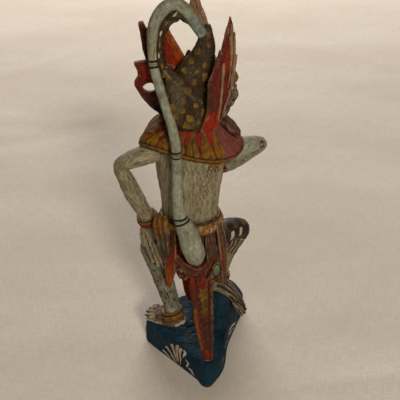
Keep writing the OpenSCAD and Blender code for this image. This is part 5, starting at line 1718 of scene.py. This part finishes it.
def paint_foam(rock):
    """A fan of sea foam on the left rear wall, with loose commas beside it, and strokes on the right."""
    p = rock.points
    left_wall = ([33, 6], [-8, 47])
    root = np.array([31.5, -2.5])
    for along, height, wide in ((12.6, 4.4, 1.2), (17, 12, 1.5), (22.3, 18.8, 1.7), (27.3, 21.6, 1.8),
                                (31.6, 21.4, 1.6)):
        tip = np.array([along, height])
        petal = [[*(root + (tip - root) * t + [0.6 * math.sin(math.pi * t), 0]),
                  0.3 + wide * math.sin(min(2.4 * t, 2.2)) * t]
                 for t in np.linspace(0.12, 1, 10)]
        depth = wall_lines(p, *left_wall, [petal])
        rock.mark("cream", 0.6 * depth)
        rock.mark("peach", 0.3 * only(p[:, 2] > 9, depth - 1.1))
        rock.mark("black", 0.4 - np.abs(depth + 0.35))
    for comma in ([[34.6, 23, 0.8], [37, 21.6, 1.3], [36.6, 18, 1.0], [35.8, 15.4, 0.5]],
                  [[38.8, 14.2, 0.8], [41.3, 13.2, 1.3], [40.6, 9.6, 1.0], [39.6, 6.6, 0.5]],
                  [[42.4, 7.4, 0.8], [45, 6.6, 1.2], [46.4, 4.6, 1.0], [48.6, 3.6, 0.5]]):
        depth = wall_lines(p, *left_wall, [comma])
        rock.mark("cream", 0.6 * depth)
        rock.mark("black", 0.3 - np.abs(depth + 0.3))
    right_wall = ([-18, 46], [-31, 6])
    strokes = [[[67, 4, 0.5], [59, 9, 1.1], [51, 12.5, 1.1], [44, 12.5, 0.5]],
               [[61, 3, 0.4], [53, 7, 0.8], [46, 9, 0.8], [40, 5, 0.4]],
               [[40, 14, 0.3], [33, 15, 0.5], [24, 13, 0.5], [12, 9, 0.2]]]
    rock.mark("cream", 0.3 * wall_lines(p, *right_wall, strokes))
    corner = np.linalg.norm((p - [-11, 46, 8]) * [0.8, 0.7, 1], axis=1)
    rock.mark("teal", 0.012 * (18 - corner) + 0.05 * wobble(p, 12, 8))
    # Lighter teal on the walls facing the figure's left and back: a painted highlight.
    rock.mark("teal", 0.1 * (rock.normals() @ unit([1, 1, 0])) - 0.06 + 0.08 * wobble(p, 14, 18))


# ---------------------------------------------------------------- stage and light

def add_stage():
    """A cream linen cloth under the figure, with soft creases."""
    size, count = 2600.0, 380
    spread = np.linspace(-1, 1, count)
    spread = np.sign(spread) * np.abs(spread) ** 1.9 * size
    x, y = np.meshgrid(spread, spread, indexing="ij")
    points = np.stack([x, y, np.zeros_like(x)], -1).reshape(-1, 3)
    creases = np.zeros(len(points))
    local = np.random.default_rng(4)
    for _ in range(46):
        at, lean, wide = local.uniform(-700, 500, 2), local.uniform(-0.5, 0.9), local.uniform(7, 16)
        way = np.array([math.cos(lean), math.sin(lean)])
        rel = points[:, :2] - at
        off = rel @ [-way[1], way[0]] + 12 * wobble(points, 190, 7)
        height, reach = local.uniform(-1.2, 1.7), local.uniform(90, 260)
        creases += height * bump(off, 0, wide) * bump(rel @ way, 0, reach)
    away = ease(np.linalg.norm(points[:, :2], axis=1), 62, 150)
    points[:, 2] = -0.25 + away * (creases + 1.3 * wobble(points, 240, 3) - 1.0)
    i, k = np.meshgrid(np.arange(count - 1), np.arange(count - 1), indexing="ij")
    quads = np.stack([i * count + k, (i + 1) * count + k, (i + 1) * count + k + 1, i * count + k + 1],
                     -1).reshape(-1, 4)
    mesh = bpy.data.meshes.new("linen")
    mesh.from_pydata((points * MM).tolist(), [], quads.tolist())
    mesh.shade_smooth()
    cloth = bpy.data.objects.new("linen", mesh)
    bpy.context.scene.collection.objects.link(cloth)
    g = Graph("linen")
    place = g.add("ShaderNodeTexCoord").outputs["Object"]
    weave = g.times(g.noise(g.stretch(place, (1500, 90, 1)), 1.0, 2),
                    g.noise(g.stretch(place, (90, 1500, 1)), 1.0, 2))
    tone = g.noise(g.stretch(place, (5, 14, 1)), 1.0, 5)
    colour = g.mix(g.step(tone, 0.3, 0.7), (0.60, 0.525, 0.435), (0.67, 0.60, 0.515))
    colour = g.mix(g.step(weave, 0.14, 0.36, 0.0, 0.45), colour, (0.47, 0.40, 0.32))
    g.feed(g.shader.inputs["Base Color"], colour)
    g.shader.inputs["Roughness"].default_value = 0.9
    g.shader.inputs["Specular IOR Level"].default_value = 0.1
    g.feed(g.shader.inputs["Normal"], g.bump(weave, 0.5, 0.0006))
    mesh.materials.append(g.material)


def add_light(name, place, aim, size, power, colour):
    """A rectangular area light."""
    data = bpy.data.lights.new(name, "AREA")
    data.shape = "RECTANGLE"
    data.size, data.size_y = size
    data.energy = power
    data.color = colour
    obj = bpy.data.objects.new(name, data)
    obj.location = place
    obj.rotation_euler = (Vector(aim) - Vector(place)).to_track_quat("-Z", "Y").to_euler()
    obj.visible_camera = False
    bpy.context.scene.collection.objects.link(obj)


def add_lights():
    """A room lamp behind the camera to its right, and daylight from beyond the figure."""
    add_light("lamp", (-0.42, 1.25, 1.12), (0, 0, 0.16), (0.3, 0.3), 15.3, (1.0, 0.94, 0.86))
    add_light("window", (0.08, -1.7, 0.8), (0, -0.95, 0), (1.6, 0.8), 36, (1.0, 0.97, 0.94))
    world = bpy.data.worlds.new("world")
    world.use_nodes = True
    world.node_tree.nodes["Background"].inputs[0].default_value = (0.88, 0.83, 0.76, 1)
    world.node_tree.nodes["Background"].inputs[1].default_value = 0.12
    bpy.context.scene.world = world
    bpy.context.scene.view_settings.view_transform = "Standard"


# ---------------------------------------------------------------- assembly

def add_figure():
    """Every carved piece over the frame part of its name, and the wood of the hidden pins."""
    paints = make_materials()
    slots = {part["node"]: part["material_slot"] for part in frame["record"]["subparts"]}
    forearm, shin_l, shin_r = [-13, -8, -48], [-15, 15, -56], [16, 5, -46]
    wrist_r = [27, -8, -19]
    pieces = [
        make_rock(), make_left_foot(), make_left_leg(), make_right_foot(), make_right_leg(),
        make_cuff("left_anklet", np.array([15, 5, 39]) - unit(shin_l) * 0.6, shin_l, 6.8,
                  ("umber", "black")),
        make_cuff("right_anklet", np.array([-23, -20, 57]) - unit(shin_r) * 3, shin_r, 5.9,
                  ("maroon", "black")),
        make_trunk(), make_hip_cloth(), make_belt(), make_sash_bow(), make_rear_sash(), make_front_apron(),
        make_left_hip_drape(), make_left_arm(), make_left_hand(), make_right_arm(), make_right_hand(),
        make_cuff("left_bracelet", np.array([32, 0, 138]) + unit(forearm), forearm, 6.0, ("black", "gold")),
        make_cuff("right_bracelet", np.array([-21, -19, 174]) - unit(wrist_r) * 3, wrist_r, 5.6,
                  ("maroon", "black")),
        make_collar(), make_head(), make_diadem(), make_hair_mass(), make_hair_crest(),
        *make_lappets(), *make_shoulder_lappets(), *make_leaves(), *make_tail()]
    for piece in pieces:
        cad_name = piece.name
        slot = slots[cad_name]
        piece.name = "carved_" + cad_name
        obj = piece.to_blender(paints[slot])
        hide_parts(cad_name)
    for piece in make_bow_loops():
        piece.to_blender(paints["red_paint"])
    for name, slot in slots.items():
        if slot == "bare_wood":
            frame["nodes"][name].data.materials.clear()
            frame["nodes"][name].data.materials.append(paints["bare_wood"])


add_camera()
add_figure()
add_stage()
add_lights()
